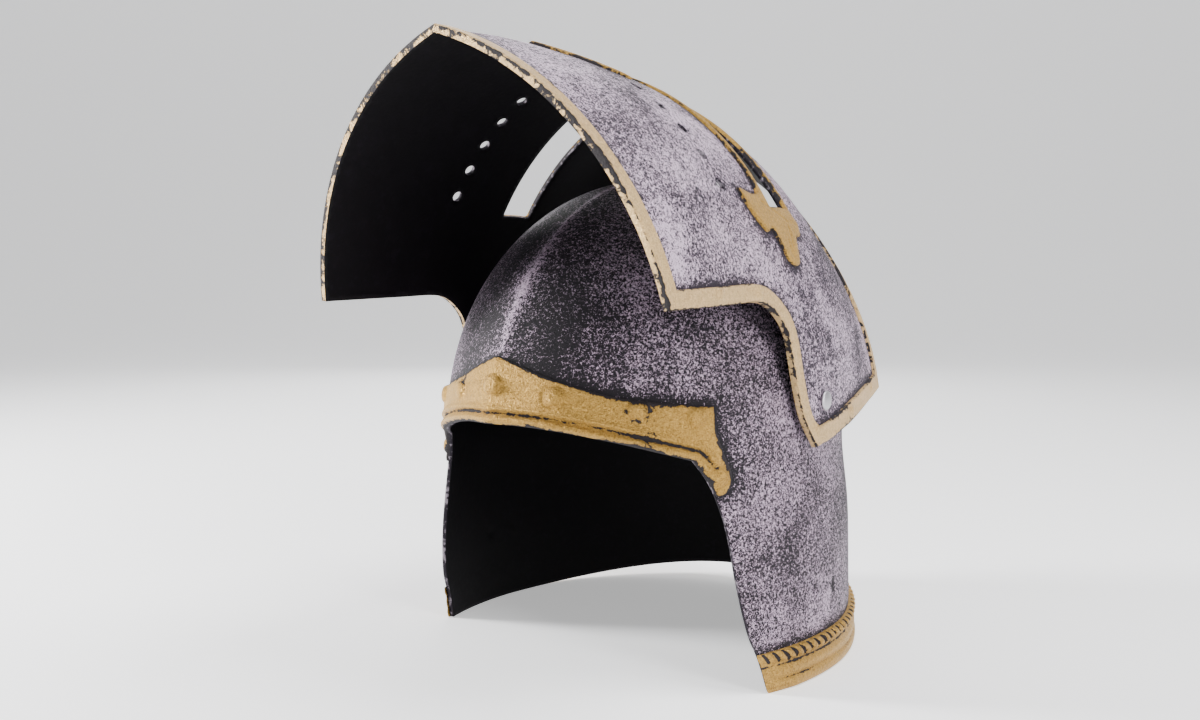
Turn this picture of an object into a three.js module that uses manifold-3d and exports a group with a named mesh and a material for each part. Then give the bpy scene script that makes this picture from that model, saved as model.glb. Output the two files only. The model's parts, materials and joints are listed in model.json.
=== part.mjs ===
// A costume helmet in the style of the military orders: an open-faced skull piece
// with a brow band and a roped rim, and a keeled visor that swings on two side rivets.
// Millimetres, +Z up. The wearer faces -Y and the wearer's left is +X.
import * as THREE from "three";
import { mergeVertices } from "three/addons/utils/BufferGeometryUtils.js";
import Module from "manifold-3d";

const wasm = await Module();
wasm.setup();

// Driving dimensions of the skull piece
const skullHalfWidth = 101; // at the brow line
const skullFront = 126; // from the crown axis to the brow keel
const skullBack = 122; // from the crown axis to the nape
const wallHeight = 120; // where the wall turns into the dome
const domeHeight = 124;
const crownSetback = 8; // the crown lies this far behind the axis
const shellThickness = 2;
const rimRise = 11; // the rim lifts this much at the nape
const riseStart = 20; // and starts to lift this far behind the crown axis
const keelAtBrow = 0.24; // how far the front is drawn to a fold, 0 for round
const keelAtCrown = 0.1;
const gap = 0.3; // left between pieces that touch

// Driving dimensions of the face opening, seen from the front
const faceHalfWidth = 102; // between the cheeks at the rim
const faceHeight = 127.5; // top of the arch at the keel
const templeHeight = 110.5; // where the cheek edge turns into the arch

// Driving dimensions of the trim on the skull piece
const browBandPeak = 30.5; // height of the band above the arch at the keel
const browBandReach = 80.7; // half width of the band's upper corners
const browBandTail = 16.7; // each tail ends this far below the temple
const browBandTailWidth = 3; // beyond the opening's edge, seen from the front
const trimThickness = 1.6;
const rimBandHeight = 19;
const rimBandThickness = 3;
const ropeDiameter = 5;
const rimLipHeight = 11;
const rimRunOut = 14; // the band thins to its ends over this length
const rimEndShare = 0.2; // of its thickness, left at the ends

// Driving dimensions of the visor, raised as it rests
const visorRise = 57; // the chin peak stands this far above the crown
const visorHalfWidth = 104; // across the chin corners
const visorReach = 158; // from the crown axis forward to the chin peak
const visorTail = 110; // from the crown axis back to the ear corner
const visorThickness = 2;
const ridgeSlope = 17 * Math.PI / 180; // each flank falls from the ridge at this angle
const earFlare = 0.12; // the ears spread by this share of their drop below the vault
const earBlend = 20; // over this length
const chinLean = 25; // the peak stands this far ahead of the chin corners
const chinCornerHeight = 181.5;
const sideEdgeHeight = 183; // where the side edge meets the ear
const earFront = 60; // forward end of the ear's upper curve
const earBottomFront = 112;
const earBottomBack = 129;
const browEdge = 62; // the brow edge at the ridge, behind the axis
const borderWidth = 8;
const borderThickness = 1.2;

// Driving dimensions of the piercings and the cross
const slitHeight = 20.5;
const slitFront = 19; // forward edge of the eye slits, ahead of the axis
const slitInner = 12; // from the ridge to a slit's inner end
const slitOuter = 111; // from the ridge to its outer end, along the vault
const breathHoleDiameter = 6;
const breathHoleRow = 59; // ahead of the axis
const breathHoleFirst = 39.5; // from the ridge, along the vault
const breathHolePitch = 16.5;
const breathHoleCount = 5;
const crossStemHalfWidth = 7; // of the upright along the ridge
const crossFrame = 3.5; // width of the bars that frame a slit
const crossForward = 95; // tip of the upright ahead of the axis
const crossBackward = 50; // and behind it
const leafReach = 36; // from the middle of a slit out to the tip of a leaf
const leafLength = 30; // from a slit's outer end to the tip of the arm
const crossThickness = 1.4;

// Driving dimensions of the pivots
const pivotBack = 5; // behind the crown axis
const pivotRise = 21; // above the ear's forward foot
const rivetShaftRadius = 2.5;
const rivetHeadRadius = 4.8;
const rivetHeadHeight = 2;
const rivetTail = 1.5; // the shank's end stands this far inside the wall
const rivetSlack = 0.5; // between the ear and the head, so that the visor can swing

// Fineness of the facets
const skullColumns = 56;
const wallRows = 6;
const domeRows = 9;
const vaultRows = 12;
const vaultColumns = 13;
const blockFacet = 40;
const rivetSides = 14;
const hugeReach = 400; // length of cutting bodies

const steel = new THREE.MeshStandardMaterial({ color: 0x8f8798, roughness: 0.5, metalness: 0.5 });
const gold = new THREE.MeshStandardMaterial({ color: 0xc8a469, roughness: 0.5, metalness: 0.6 });
const bright = new THREE.MeshStandardMaterial({ color: 0xb8b8bc, roughness: 0.35, metalness: 0.8 });

// Smooth reading of a table with named columns, between its rows
function readTable(table, key, column, at) {
  const last = table.length - 1;
  let i = 0;
  while (i < last - 1 && at > table[i + 1][key]) i += 1;
  const slope = (j) => {
    const before = Math.max(0, j - 1);
    const after = Math.min(last, j + 1);
    return (table[after][column] - table[before][column]) / (table[after][key] - table[before][key]);
  };
  const span = table[i + 1][key] - table[i][key];
  const t = Math.min(1, Math.max(0, (at - table[i][key]) / span));
  const t2 = t * t;
  const t3 = t2 * t;
  return (2 * t3 - 3 * t2 + 1) * table[i][column] + (t3 - 2 * t2 + t) * span * slope(i)
    + (3 * t2 - 2 * t3) * table[i + 1][column] + (t3 - t2) * span * slope(i + 1);
}

// The same surface with every shared vertex kept once
function merge(geometry) {
  const bare = geometry.clone();
  bare.deleteAttribute("normal");
  bare.deleteAttribute("uv");
  return mergeVertices(bare, 1e-4);
}

// The same surface with no edge longer than a length. In each round every triangle marks its
// longest edge, each marked edge gets one shared middle, and triangles fan out from a middle
function refine(geometry, longest) {
  const points = [];
  const places = geometry.attributes.position;
  for (let i = 0; i < places.count; i += 1) points.push(new THREE.Vector3().fromBufferAttribute(places, i));
  const keyOf = (a, b) => `${Math.min(a, b)} ${Math.max(a, b)}`;
  let index = Array.from(geometry.index.array);
  for (;;) {
    const marked = new Set();
    for (let t = 0; t < index.length; t += 3) {
      const corners = index.slice(t, t + 3);
      const lengths = corners.map((a, k) => points[a].distanceTo(points[corners[(k + 1) % 3]]));
      const k = lengths.indexOf(Math.max(...lengths));
      if (lengths[k] > longest) marked.add(keyOf(corners[k], corners[(k + 1) % 3]));
    }
    if (marked.size === 0) break;
    const middles = new Map();
    const next = [];
    for (let t = 0; t < index.length; t += 3) {
      const ring = [];
      let hub = 0;
      for (let k = 0; k < 3; k += 1) {
        const a = index[t + k];
        const b = index[t + (k + 1) % 3];
        const key = keyOf(a, b);
        ring.push(a);
        if (!marked.has(key)) continue;
        if (!middles.has(key)) {
          const middle = points[a].clone().add(points[b]).divideScalar(2);
          middles.set(key, points.push(middle) - 1);
        }
        hub = ring.push(middles.get(key)) - 1;
      }
      for (let k = 1; k < ring.length - 1; k += 1) {
        next.push(ring[hub], ring[(hub + k) % ring.length], ring[(hub + k + 1) % ring.length]);
      }
    }
    index = next;
  }
  const fine = new THREE.BufferGeometry();
  const flat = points.flatMap((point) => point.toArray());
  fine.setAttribute("position", new THREE.Float32BufferAttribute(flat, 3));
  fine.setIndex(index);
  return fine;
}

function toManifold(geometry) {
  const merged = merge(geometry);
  return new wasm.Manifold(new wasm.Mesh({
    numProp: 3,
    vertProperties: new Float32Array(merged.attributes.position.array),
    triVerts: new Uint32Array(merged.index.array),
  }));
}

function toGeometry(solid) {
  const mesh = solid.getMesh();
  const geometry = new THREE.BufferGeometry();
  geometry.setAttribute("position", new THREE.BufferAttribute(new Float32Array(mesh.vertProperties), 3));
  geometry.setIndex(new THREE.BufferAttribute(new Uint32Array(mesh.triVerts), 1));
  geometry.computeVertexNormals();
  return geometry;
}

// A closed solid from rings of points about the Z axis, capped at the first ring's lowest
// level and at a tip
function cappedRings(rings, tip) {
  const columns = rings[0].length;
  const positions = rings.flat(2);
  const index = [];
  for (let r = 0; r < rings.length - 1; r += 1) {
    for (let c = 0; c < columns; c += 1) {
      const next = (c + 1) % columns;
      const a = r * columns + c;
      const b = r * columns + next;
      index.push(a, b, b + columns, a, b + columns, a + columns);
    }
  }
  const base = rings.length * columns;
  const lowest = Math.min(...rings[0].map((point) => point[2]));
  positions.push(...tip, 0, 0, lowest);
  for (let c = 0; c < columns; c += 1) {
    const next = (c + 1) % columns;
    index.push((rings.length - 1) * columns + c, (rings.length - 1) * columns + next, base);
    index.push(next, c, base + 1);
  }
  const geometry = new THREE.BufferGeometry();
  geometry.setAttribute("position", new THREE.Float32BufferAttribute(positions, 3));
  geometry.setIndex(index);
  return geometry;
}

// A closed ring from sections that follow each other round the rim
function wrappedSections(sections) {
  const points = sections[0].length;
  const index = [];
  for (let r = 0; r < sections.length; r += 1) {
    for (let c = 0; c < points; c += 1) {
      const ahead = ((r + 1) % sections.length) * points;
      const next = (c + 1) % points;
      index.push(r * points + c, ahead + c, ahead + next, r * points + c, ahead + next, r * points + next);
    }
  }
  const geometry = new THREE.BufferGeometry();
  geometry.setAttribute("position", new THREE.Float32BufferAttribute(sections.flat(2), 3));
  geometry.setIndex(index);
  return geometry;
}

// Skull piece: the wall's width at each level, as shares of the wall height and half width,
// with its front depth and the share of the brow's keel that it keeps
const wallSections = [
  { level: 0, width: 1.07, front: 1.06, keel: 0 },
  { level: 0.12, width: 1.063, front: 1.06, keel: 0.05 },
  { level: 0.25, width: 1.06, front: 1.06, keel: 0.15 },
  { level: 0.6, width: 1.045, front: 1.02, keel: 0.6 },
  { level: 0.86, width: 1.004, front: 1.005, keel: 0.87 },
  { level: 1, width: 1, front: 1, keel: 1 },
];

// A point of the skull, from an angle about the crown axis that is 0 at the front keel,
// and a climb that is 0 at the rim, 1 at the brow line and 2 at the crown
function skullSurface(angle, climb) {
  const onDome = Math.max(0, climb - 1);
  const rise = onDome * Math.PI / 2;
  const level = Math.min(1, climb);
  const spread = readTable(wallSections, "level", "width", level);
  const front = skullFront * readTable(wallSections, "level", "front", level);
  const browKeel = keelAtBrow * readTable(wallSections, "level", "keel", level);
  const keel = browKeel + (keelAtCrown - keelAtBrow) * onDome;
  const side = Math.sin(angle);
  const ahead = Math.cos(angle);
  const folded = (1 - keel) * Math.abs(ahead) + keel * (1 - Math.abs(side));
  const depth = ahead > 0 ? -front * folded : skullBack * -ahead;
  const foot = rimRise * Math.max(0, (depth - riseStart) / (skullBack - riseStart)) ** 2;
  return new THREE.Vector3(
    skullHalfWidth * spread * Math.cos(rise) * side,
    depth * Math.cos(rise) + crownSetback * Math.sin(rise),
    foot + (wallHeight - foot) * level + domeHeight * Math.sin(rise),
  );
}

function skullPoint(angle, climb, offset) {
  const step = 0.01;
  const round = skullSurface(angle + step, climb).sub(skullSurface(angle - step, climb));
  const up = skullSurface(angle, climb + step).sub(skullSurface(angle, Math.max(0, climb - step)));
  const normal = round.cross(up).normalize();
  return skullSurface(angle, climb).addScaledVector(normal, offset);
}

// The room inside a surface that stands off the skull by an offset, and drops below the rim
function skullSolid(offset, drop) {
  const climbs = [];
  for (let r = 0; r <= wallRows; r += 1) climbs.push(r / wallRows);
  for (let r = 1; r < domeRows; r += 1) climbs.push(1 + r / domeRows);
  const rings = climbs.map((climb) => {
    const ring = [];
    for (let c = 0; c < skullColumns; c += 1) {
      ring.push(skullPoint(c / skullColumns * 2 * Math.PI, climb, offset).toArray());
    }
    return ring;
  });
  if (drop > 0) rings.unshift(rings[0].map(([x, y, z]) => [x, y, z - drop]));
  return toManifold(cappedRings(rings, [0, crownSetback, wallHeight + domeHeight + offset]));
}

// A flat outline in the front view, made into a block that reaches from the front to a depth
function frontBlock(points, back) {
  const shape = new THREE.Shape(points.map(([x, z]) => new THREE.Vector2(x, z)));
  const geometry = new THREE.ExtrudeGeometry(shape, { depth: hugeReach + back, bevelEnabled: false });
  geometry.rotateX(Math.PI / 2);
  geometry.translate(0, back, 0);
  return toManifold(geometry);
}

// The face opening: each cheek edge, with its height as a share of the temple's and its
// half width as a share of the width at the rim, then a shallow arch under the brow
const cheekEdge = [
  { rise: 0, reach: 1 },
  { rise: 0.15, reach: 0.975 },
  { rise: 0.27, reach: 0.95 },
  { rise: 0.5, reach: 0.907 },
  { rise: 0.7, reach: 0.868 },
  { rise: 0.85, reach: 0.82 },
  { rise: 0.93, reach: 0.785 },
  { rise: 1, reach: 0.745 },
];
const templeHalfWidth = faceHalfWidth * cheekEdge[cheekEdge.length - 1].reach;
const archRise = faceHeight - templeHeight;
const archSteps = 6;
const faceOutline = [[faceHalfWidth, -hugeReach]];
for (const { rise, reach } of cheekEdge) faceOutline.push([faceHalfWidth * reach, templeHeight * rise]);
for (let i = archSteps - 1; i >= 0; i -= 1) {
  const across = i / archSteps;
  faceOutline.push([templeHalfWidth * across, faceHeight - archRise * across ** 2]);
}

// The left half of a front view outline, with its mirror image, as one block
function bothSides(points) {
  const other = points.filter(([x]) => x > 0).reverse().map(([x, z]) => [-x, z]);
  return [...points, ...other];
}
const faceCut = frontBlock(bothSides(faceOutline), 0);

const pivotHeight = earBottomFront + pivotRise;

// A straight rod across the helmet on the pivot axis, to bore the holes of the rivets
function pivotRod(radius) {
  const rod = new THREE.CylinderGeometry(radius, radius, hugeReach, rivetSides);
  rod.rotateZ(Math.PI / 2);
  rod.translate(0, pivotBack, pivotHeight);
  return toManifold(rod);
}
const pivotBore = pivotRod(rivetShaftRadius + gap);

const skull = skullSolid(0, 0).subtract(skullSolid(-shellThickness, shellThickness)).subtract(faceCut)
  .subtract(pivotBore);

// Brow band: a raised plate above the arch, peaked on the keel, with a tail at each temple.
// Its upper edge falls away from the keel, as shares of the reach and of the peak
const bandTop = [
  { across: 1, climb: 0.24 },
  { across: 0.95, climb: 0.26 },
  { across: 0.8, climb: 0.33 },
  { across: 0.63, climb: 0.41 },
  { across: 0.5, climb: 0.51 },
  { across: 0.35, climb: 0.64 },
  { across: 0.13, climb: 0.87 },
  { across: 0, climb: 1 },
];
const tailTip = templeHeight - browBandTail;
const tailHalfWidth = faceHalfWidth * readTable(cheekEdge, "rise", "reach", tailTip / templeHeight);
const bandOutline = [
  [0, templeHeight],
  [templeHalfWidth / 2, templeHeight - browBandTail],
  [tailHalfWidth + browBandTailWidth * 0.5, tailTip],
  [tailHalfWidth + browBandTailWidth, tailTip + browBandTail * 0.2],
  [tailHalfWidth + browBandTailWidth * 0.95, tailTip + browBandTail * 0.6],
  [browBandReach + browBandTailWidth * 1.15, templeHeight + browBandTail * 0.15],
  [browBandReach + browBandTailWidth * 0.35, templeHeight + browBandTail * 0.8],
];
for (const { across, climb } of bandTop) {
  bandOutline.push([browBandReach * across, faceHeight + browBandPeak * climb]);
}
const browBand = skullSolid(gap + trimThickness, 0).subtract(skullSolid(gap, shellThickness))
  .intersect(frontBlock(bothSides(bandOutline), 0)).subtract(faceCut);

// Rim band: a rolled lip, a groove and a round moulding for the rope, all round the rim
const rimEndAngle = Math.asin(faceHalfWidth / skullHalfWidth / wallSections[0].width);
function rimSection(angle) {
  const rimLevel = skullSurface(angle, 0).z;
  const fromEnd = (Math.min(angle, 2 * Math.PI - angle) - rimEndAngle) * skullHalfWidth;
  const share = Math.min(1, Math.max(0, fromEnd / rimRunOut));
  const stand = rimEndShare + (1 - rimEndShare) * share;
  const at = (height, offset) => {
    const point = skullPoint(angle, height / wallHeight, gap + offset * stand);
    return [point.x, point.y, rimLevel + height];
  };
  const section = [at(0, 0), at(0, rimBandThickness * 0.6), at(rimLipHeight * 0.3, rimBandThickness),
    at(rimLipHeight * 0.8, rimBandThickness), at(rimLipHeight, rimBandThickness * 0.45)];
  const ropeCentre = rimBandHeight - ropeDiameter / 2;
  for (let i = 0; i <= 4; i += 1) {
    const turn = (i / 4 - 0.5) * Math.PI;
    const height = ropeCentre + ropeDiameter / 2 * Math.sin(turn);
    section.push(at(height, rimBandThickness * 0.3 + ropeDiameter / 2 * Math.cos(turn)));
  }
  section.push(at(rimBandHeight, 0));
  return section;
}
const rimSections = [];
for (let c = 0; c < skullColumns; c += 1) rimSections.push(rimSection(c / skullColumns * 2 * Math.PI));
const rimBand = toManifold(wrappedSections(rimSections)).subtract(faceCut);

// Visor: its ridge height and half width from the chin peak to the ear corner, as shares
// of the visor's own ridge height and half width
const visorSections = [
  { along: -0.02, ridge: 0.994, width: 0.995 },
  { along: 0.18, ridge: 1.003, width: 0.99 },
  { along: 0.38, ridge: 0.995, width: 0.98 },
  { along: 0.53, ridge: 0.977, width: 0.986 },
  { along: 0.61, ridge: 0.959, width: 0.992 },
  { along: 0.7, ridge: 0.935, width: 0.975 },
  { along: 0.8, ridge: 0.887, width: 0.94 },
  { along: 0.89, ridge: 0.84, width: 0.89 },
  { along: 1.05, ridge: 0.76, width: 0.8 },
];

const visorRidgeHeight = wallHeight + domeHeight + visorRise;
function vaultSection(y) {
  const along = (y + visorReach) / (visorReach + visorTail);
  const ridge = visorRidgeHeight * readTable(visorSections, "along", "ridge", along);
  const width = visorHalfWidth * readTable(visorSections, "along", "width", along);
  const radius = width / (1 - Math.sin(ridgeSlope));
  const upright = radius * (Math.PI / 2 - ridgeSlope); // vault length from the ridge to the upright flank
  const springing = ridge - radius * Math.cos(ridgeSlope);
  return { ridge, width, radius, upright, springing };
}

// A point of the visor's left half from its place along Y and its length down from the ridge
function visorSurface(y, down) {
  const { ridge, width, radius, upright, springing } = vaultSection(y);
  if (down > upright) {
    const fall = down - upright;
    const spread = fall < earBlend ? fall ** 2 / (2 * earBlend) : fall - earBlend / 2;
    return new THREE.Vector3(width + earFlare * spread, y, springing - fall);
  }
  const turn = ridgeSlope + down / radius;
  const across = radius * (Math.sin(turn) - Math.sin(ridgeSlope));
  const fall = radius * (Math.cos(ridgeSlope) - Math.cos(turn));
  return new THREE.Vector3(across, y, ridge - fall);
}

function visorPoint(y, down, offset) {
  const step = 0.5;
  const forward = visorSurface(y - step, down).sub(visorSurface(y + step, down));
  const outward = visorSurface(y, down + step).sub(visorSurface(y, Math.max(0, down - step)));
  const normal = forward.cross(outward).normalize();
  const point = visorSurface(y, down);
  if (down > 0) return point.addScaledVector(normal, offset);
  const mitre = new THREE.Vector3(0, normal.y, normal.z).divideScalar(Math.cos(ridgeSlope) ** 2);
  return point.addScaledVector(mitre, offset);
}

// The length down from the ridge at which the visor's flank reaches a height
function downTo(y, height) {
  const { ridge, radius, upright, springing } = vaultSection(y);
  if (height < springing) return upright + springing - height;
  return radius * (Math.acos(Math.cos(ridgeSlope) - (ridge - height) / radius) - ridgeSlope);
}

// A flat pattern, along Y and down from the ridge, bent onto the left half of the vault
// as a block that stands through the sheet
const blockReach = 6; // above and below the vault
function vaultBlock(points) {
  const shape = new THREE.Shape(points.map(([y, down]) => new THREE.Vector2(down, y)));
  const flat = new THREE.ExtrudeGeometry(shape, { depth: 2 * blockReach, bevelEnabled: false });
  const bent = refine(merge(flat), blockFacet);
  const places = bent.attributes.position;
  for (let i = 0; i < places.count; i += 1) {
    const point = visorPoint(places.getY(i), places.getX(i), places.getZ(i) - blockReach);
    places.setXYZ(i, point.x, point.y, point.z);
  }
  return toManifold(bent);
}

// A closed slab from a grid of flat places, bent onto the vault between two offsets
function vaultSlab(grid, inner, outer) {
  const columns = grid[0].length;
  const pointsAt = (offset) => grid.flat().map(([y, down]) => visorPoint(y, down, offset).toArray());
  const top = pointsAt(outer);
  const index = [];
  const quad = (a, b, c, d) => index.push(a, b, c, a, c, d);
  for (let r = 0; r < grid.length - 1; r += 1) {
    const start = r * columns;
    const end = start + columns - 1;
    for (let a = start; a < end; a += 1) {
      quad(a, a + 1, a + 1 + columns, a + columns);
      quad(top.length + a, top.length + a + columns, top.length + a + 1 + columns, top.length + a + 1);
    }
    quad(start, start + columns, top.length + start + columns, top.length + start);
    quad(end + columns, end, top.length + end, top.length + end + columns);
  }
  const lastRow = (grid.length - 1) * columns;
  for (let c = 0; c < columns - 1; c += 1) {
    quad(c + 1, c, top.length + c, top.length + c + 1);
    quad(lastRow + c, lastRow + c + 1, top.length + lastRow + c + 1, top.length + lastRow + c);
  }
  const places = [...top, ...pointsAt(inner)].flat();
  const geometry = new THREE.BufferGeometry();
  geometry.setAttribute("position", new THREE.Float32BufferAttribute(places, 3));
  geometry.setIndex(index);
  return toManifold(geometry);
}

// The places of a sheet that covers the left half of the visor with a margin to cut away
const sheetMargin = 12;
const sheetGrid = [];
for (let r = 0; r <= vaultRows; r += 1) {
  const y = -visorReach - sheetMargin + (visorReach + visorTail + 2 * sheetMargin) * r / vaultRows;
  const deepest = downTo(y, earBottomFront - sheetMargin);
  const row = [];
  for (let c = 0; c <= vaultColumns; c += 1) row.push([y, deepest * c / vaultColumns]);
  sheetGrid.push(row);
}

// Both halves of a piece of the visor
const whole = (left) => left.add(left.mirror([1, 0, 0]));

// The visor's edge on the left half, from the chin peak round to the brow edge at the ridge
const chinRun = [];
const chinSteps = 9;
for (let i = 0; i <= chinSteps; i += 1) {
  const height = visorRidgeHeight + (chinCornerHeight - visorRidgeHeight) * i / chinSteps;
  const y = -visorReach + chinLean * i / chinSteps;
  chinRun.push([y, i === 0 ? 0 : downTo(y, height)]);
}
const earDrop = sideEdgeHeight - earBottomFront;
// Ear outline: places as shares of the ear's upper reach and of its drop
const earCurve = [
  { back: 0, fall: 0 },
  { back: 0.16, fall: 0.02 },
  { back: 0.3, fall: 0.08 },
  { back: 0.42, fall: 0.17 },
  { back: 0.5, fall: 0.3 },
  { back: 0.58, fall: 0.52 },
  { back: 0.66, fall: 0.78 },
  { back: 0.84, fall: 1 },
];
const earRun = earCurve.map(({ back, fall }) => {
  const y = -earFront + earFront * back;
  return [y, downTo(y, sideEdgeHeight - earDrop * fall)];
});
const sideRun = [0.25, 0.5, 0.75].map((t) => {
  const y = -visorReach + chinLean + (visorReach - chinLean - earFront) * t;
  return [y, downTo(y, chinCornerHeight + (sideEdgeHeight - chinCornerHeight) * t)];
});
const bottomRun = [0.17, 0.34, 0.5, 0.67, 0.84, 1].map((t) => {
  const y = -earFront * 0.16 + (visorTail + earFront * 0.16) * t;
  return [y, downTo(y, earBottomFront + (earBottomBack - earBottomFront) * t)];
});
// Brow edge: from the ear corner up to the ridge, as shares of the tail and of the drop
const browCurve = [
  { out: 0.82, fall: 0.8 },
  { out: 0.55, fall: 0.55 },
  { out: 0.3, fall: 0.33 },
  { out: 0.1, fall: 0.15 },
];
const browDrop = vaultSection(browEdge).ridge - earBottomBack;
const browRun = browCurve.map(({ out, fall }) => {
  const y = browEdge + (visorTail - browEdge) * out;
  return [y, downTo(y, vaultSection(browEdge).ridge - browDrop * fall)];
});
const visorEdge = [...chinRun, ...sideRun, ...earRun, ...bottomRun, ...browRun, [browEdge, 0]];

// The same edge moved inward, for the border's inner side
function inset(points, width) {
  const moved = [[points[0][0] + width, 0]];
  for (let i = 1; i < points.length - 1; i += 1) {
    const before = new THREE.Vector2(...points[i]).sub(new THREE.Vector2(...points[i - 1])).normalize();
    const after = new THREE.Vector2(...points[i + 1]).sub(new THREE.Vector2(...points[i])).normalize();
    const along = before.clone().add(after).normalize();
    const reach = width / Math.max(0.5, along.dot(before));
    moved.push([points[i][0] + along.y * reach, points[i][1] - along.x * reach]);
  }
  moved.push([points[points.length - 1][0] - width, 0]);
  return moved;
}

const holeSides = 8;
const breathHoles = [];
for (let i = 0; i < breathHoleCount; i += 1) {
  const ring = [];
  for (let k = 0; k < holeSides; k += 1) {
    const turn = (k + 0.5) / holeSides * 2 * Math.PI;
    ring.push([-breathHoleRow + breathHoleDiameter / 2 * Math.cos(turn),
      breathHoleFirst + breathHolePitch * i + breathHoleDiameter / 2 * Math.sin(turn)]);
  }
  breathHoles.push(ring);
}
const slitBack = slitHeight - slitFront;
const slitRake = 5; // the slit's back edge ends this much sooner
const slit = [
  [-slitFront, slitInner], [slitBack, slitInner], [slitBack, slitOuter - slitRake], [-slitFront, slitOuter],
];

let visorHalf = vaultSlab(sheetGrid, -visorThickness, 0).intersect(vaultBlock(visorEdge));
for (const opening of [slit, ...breathHoles]) visorHalf = visorHalf.subtract(vaultBlock(opening));
const visor = whole(visorHalf).subtract(pivotBore);

const border = whole(vaultSlab(sheetGrid, gap, gap + borderThickness).intersect(vaultBlock(visorEdge))
  .subtract(vaultBlock(inset(visorEdge, borderWidth))));

// Cross: an upright along the ridge with a leafed tip at each end, as shares of the leaf's
// reach from the tip, and side arms that frame the slits
const ridgeTip = [
  { from: 0, aside: 0 },
  { from: 0.19, aside: 0.19 },
  { from: 0.53, aside: 0.25 },
  { from: 0.92, aside: 0.56 },
  { from: 1.36, aside: 0.75 },
  { from: 1.08, aside: 0.39 },
  { from: 0.97, aside: 0.19 },
];
// The leafed tip of a side arm, as shares of the leaf's reach and of its length
const armTip = [
  { back: -0.47, out: -0.2 },
  { back: -0.67, out: -0.13 },
  { back: -1, out: -0.2 },
  { back: -0.94, out: 0.1 },
  { back: -0.8, out: 0.37 },
  { back: -0.64, out: 0.53 },
  { back: -0.47, out: 0.4 },
  { back: -0.39, out: 0.63 },
  { back: -0.28, out: 0.9 },
  { back: -0.14, out: 1 },
  { back: 0.03, out: 0.9 },
  { back: 0.11, out: 0.63 },
  { back: 0.19, out: 0.37 },
  { back: 0.39, out: 0.3 },
  { back: 0.5, out: 0.03 },
  { back: 0.39, out: -0.13 },
];
const slitMiddle = slitBack - slitHeight / 2;
const backTipScale = 0.6; // the tip behind the slits is smaller
const crossOutline = [
  ...ridgeTip.map(({ from, aside }) => [-crossForward + leafReach * from, leafReach * aside]),
  [-slitFront - crossFrame, crossStemHalfWidth],
  [-slitFront - crossFrame, slitOuter - leafLength / 2],
  ...armTip.map(({ back, out }) => [slitMiddle + leafReach * back, slitOuter + leafLength * out]),
  [slitBack + crossFrame, slitOuter - leafLength / 2],
  [slitBack + crossFrame, crossStemHalfWidth * backTipScale],
  ...ridgeTip.slice().reverse().map(({ from, aside }) => [
    crossBackward - leafReach * from * backTipScale, leafReach * aside * backTipScale]),
];
const cross = whole(vaultSlab(sheetGrid, gap, gap + crossThickness).intersect(vaultBlock(crossOutline))
  .subtract(vaultBlock(slit)));

// Pivot rivets: a shank through the ear and the wall, with a low round head outside
function rivet(side) {
  const ear = visorPoint(pivotBack, downTo(pivotBack, pivotHeight), 0).x + rivetSlack;
  const wall = skullHalfWidth * Math.sqrt(1 - ((pivotHeight - wallHeight) / domeHeight) ** 2);
  const inside = wall - shellThickness - rivetTail;
  const profile = [
    [0, inside], [rivetShaftRadius, inside], [rivetShaftRadius, ear],
    [rivetHeadRadius, ear], [rivetHeadRadius * 0.85, ear + rivetHeadHeight * 0.7],
    [rivetHeadRadius * 0.45, ear + rivetHeadHeight], [0, ear + rivetHeadHeight],
  ].map(([radius, along]) => new THREE.Vector2(radius, along));
  const geometry = new THREE.LatheGeometry(profile, rivetSides);
  geometry.rotateZ(-Math.PI / 2 * side);
  geometry.translate(0, pivotBack, pivotHeight);
  return geometry;
}

const helmet = new THREE.Group();
function addPiece(name, geometry, material) {
  const mesh = new THREE.Mesh(geometry, material);
  mesh.name = name;
  helmet.add(mesh);
  return mesh;
}
addPiece("skull", toGeometry(skull), steel);
addPiece("brow_band", toGeometry(browBand), gold);
addPiece("rim_band", toGeometry(rimBand), gold);
addPiece("visor", toGeometry(visor), steel);
addPiece("visor_border", toGeometry(border), gold);
addPiece("visor_cross", toGeometry(cross), gold);
addPiece("pivot_rivet_left", rivet(1), bright);
addPiece("pivot_rivet_right", rivet(-1), bright);

// The origin is under the middle of the whole piece, at the height of the rim
helmet.updateMatrixWorld(true);
const reach = new THREE.Box3().setFromObject(helmet);
helmet.position.set(0, -(reach.min.y + reach.max.y) / 2, -reach.min.z);

export default helmet;
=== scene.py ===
# %% [markdown]
# # A costume helmet with a raised visor
# The real helmet is moulded in black plastic, then sprayed and dry-brushed with silver and
# gold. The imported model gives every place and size, so it is loaded first and never changed.
# Each of its solids is then replaced by a finer skin that follows the same curves.

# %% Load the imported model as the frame
import json
import math

import bmesh
import bpy
import numpy as np
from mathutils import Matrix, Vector, geometry


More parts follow.
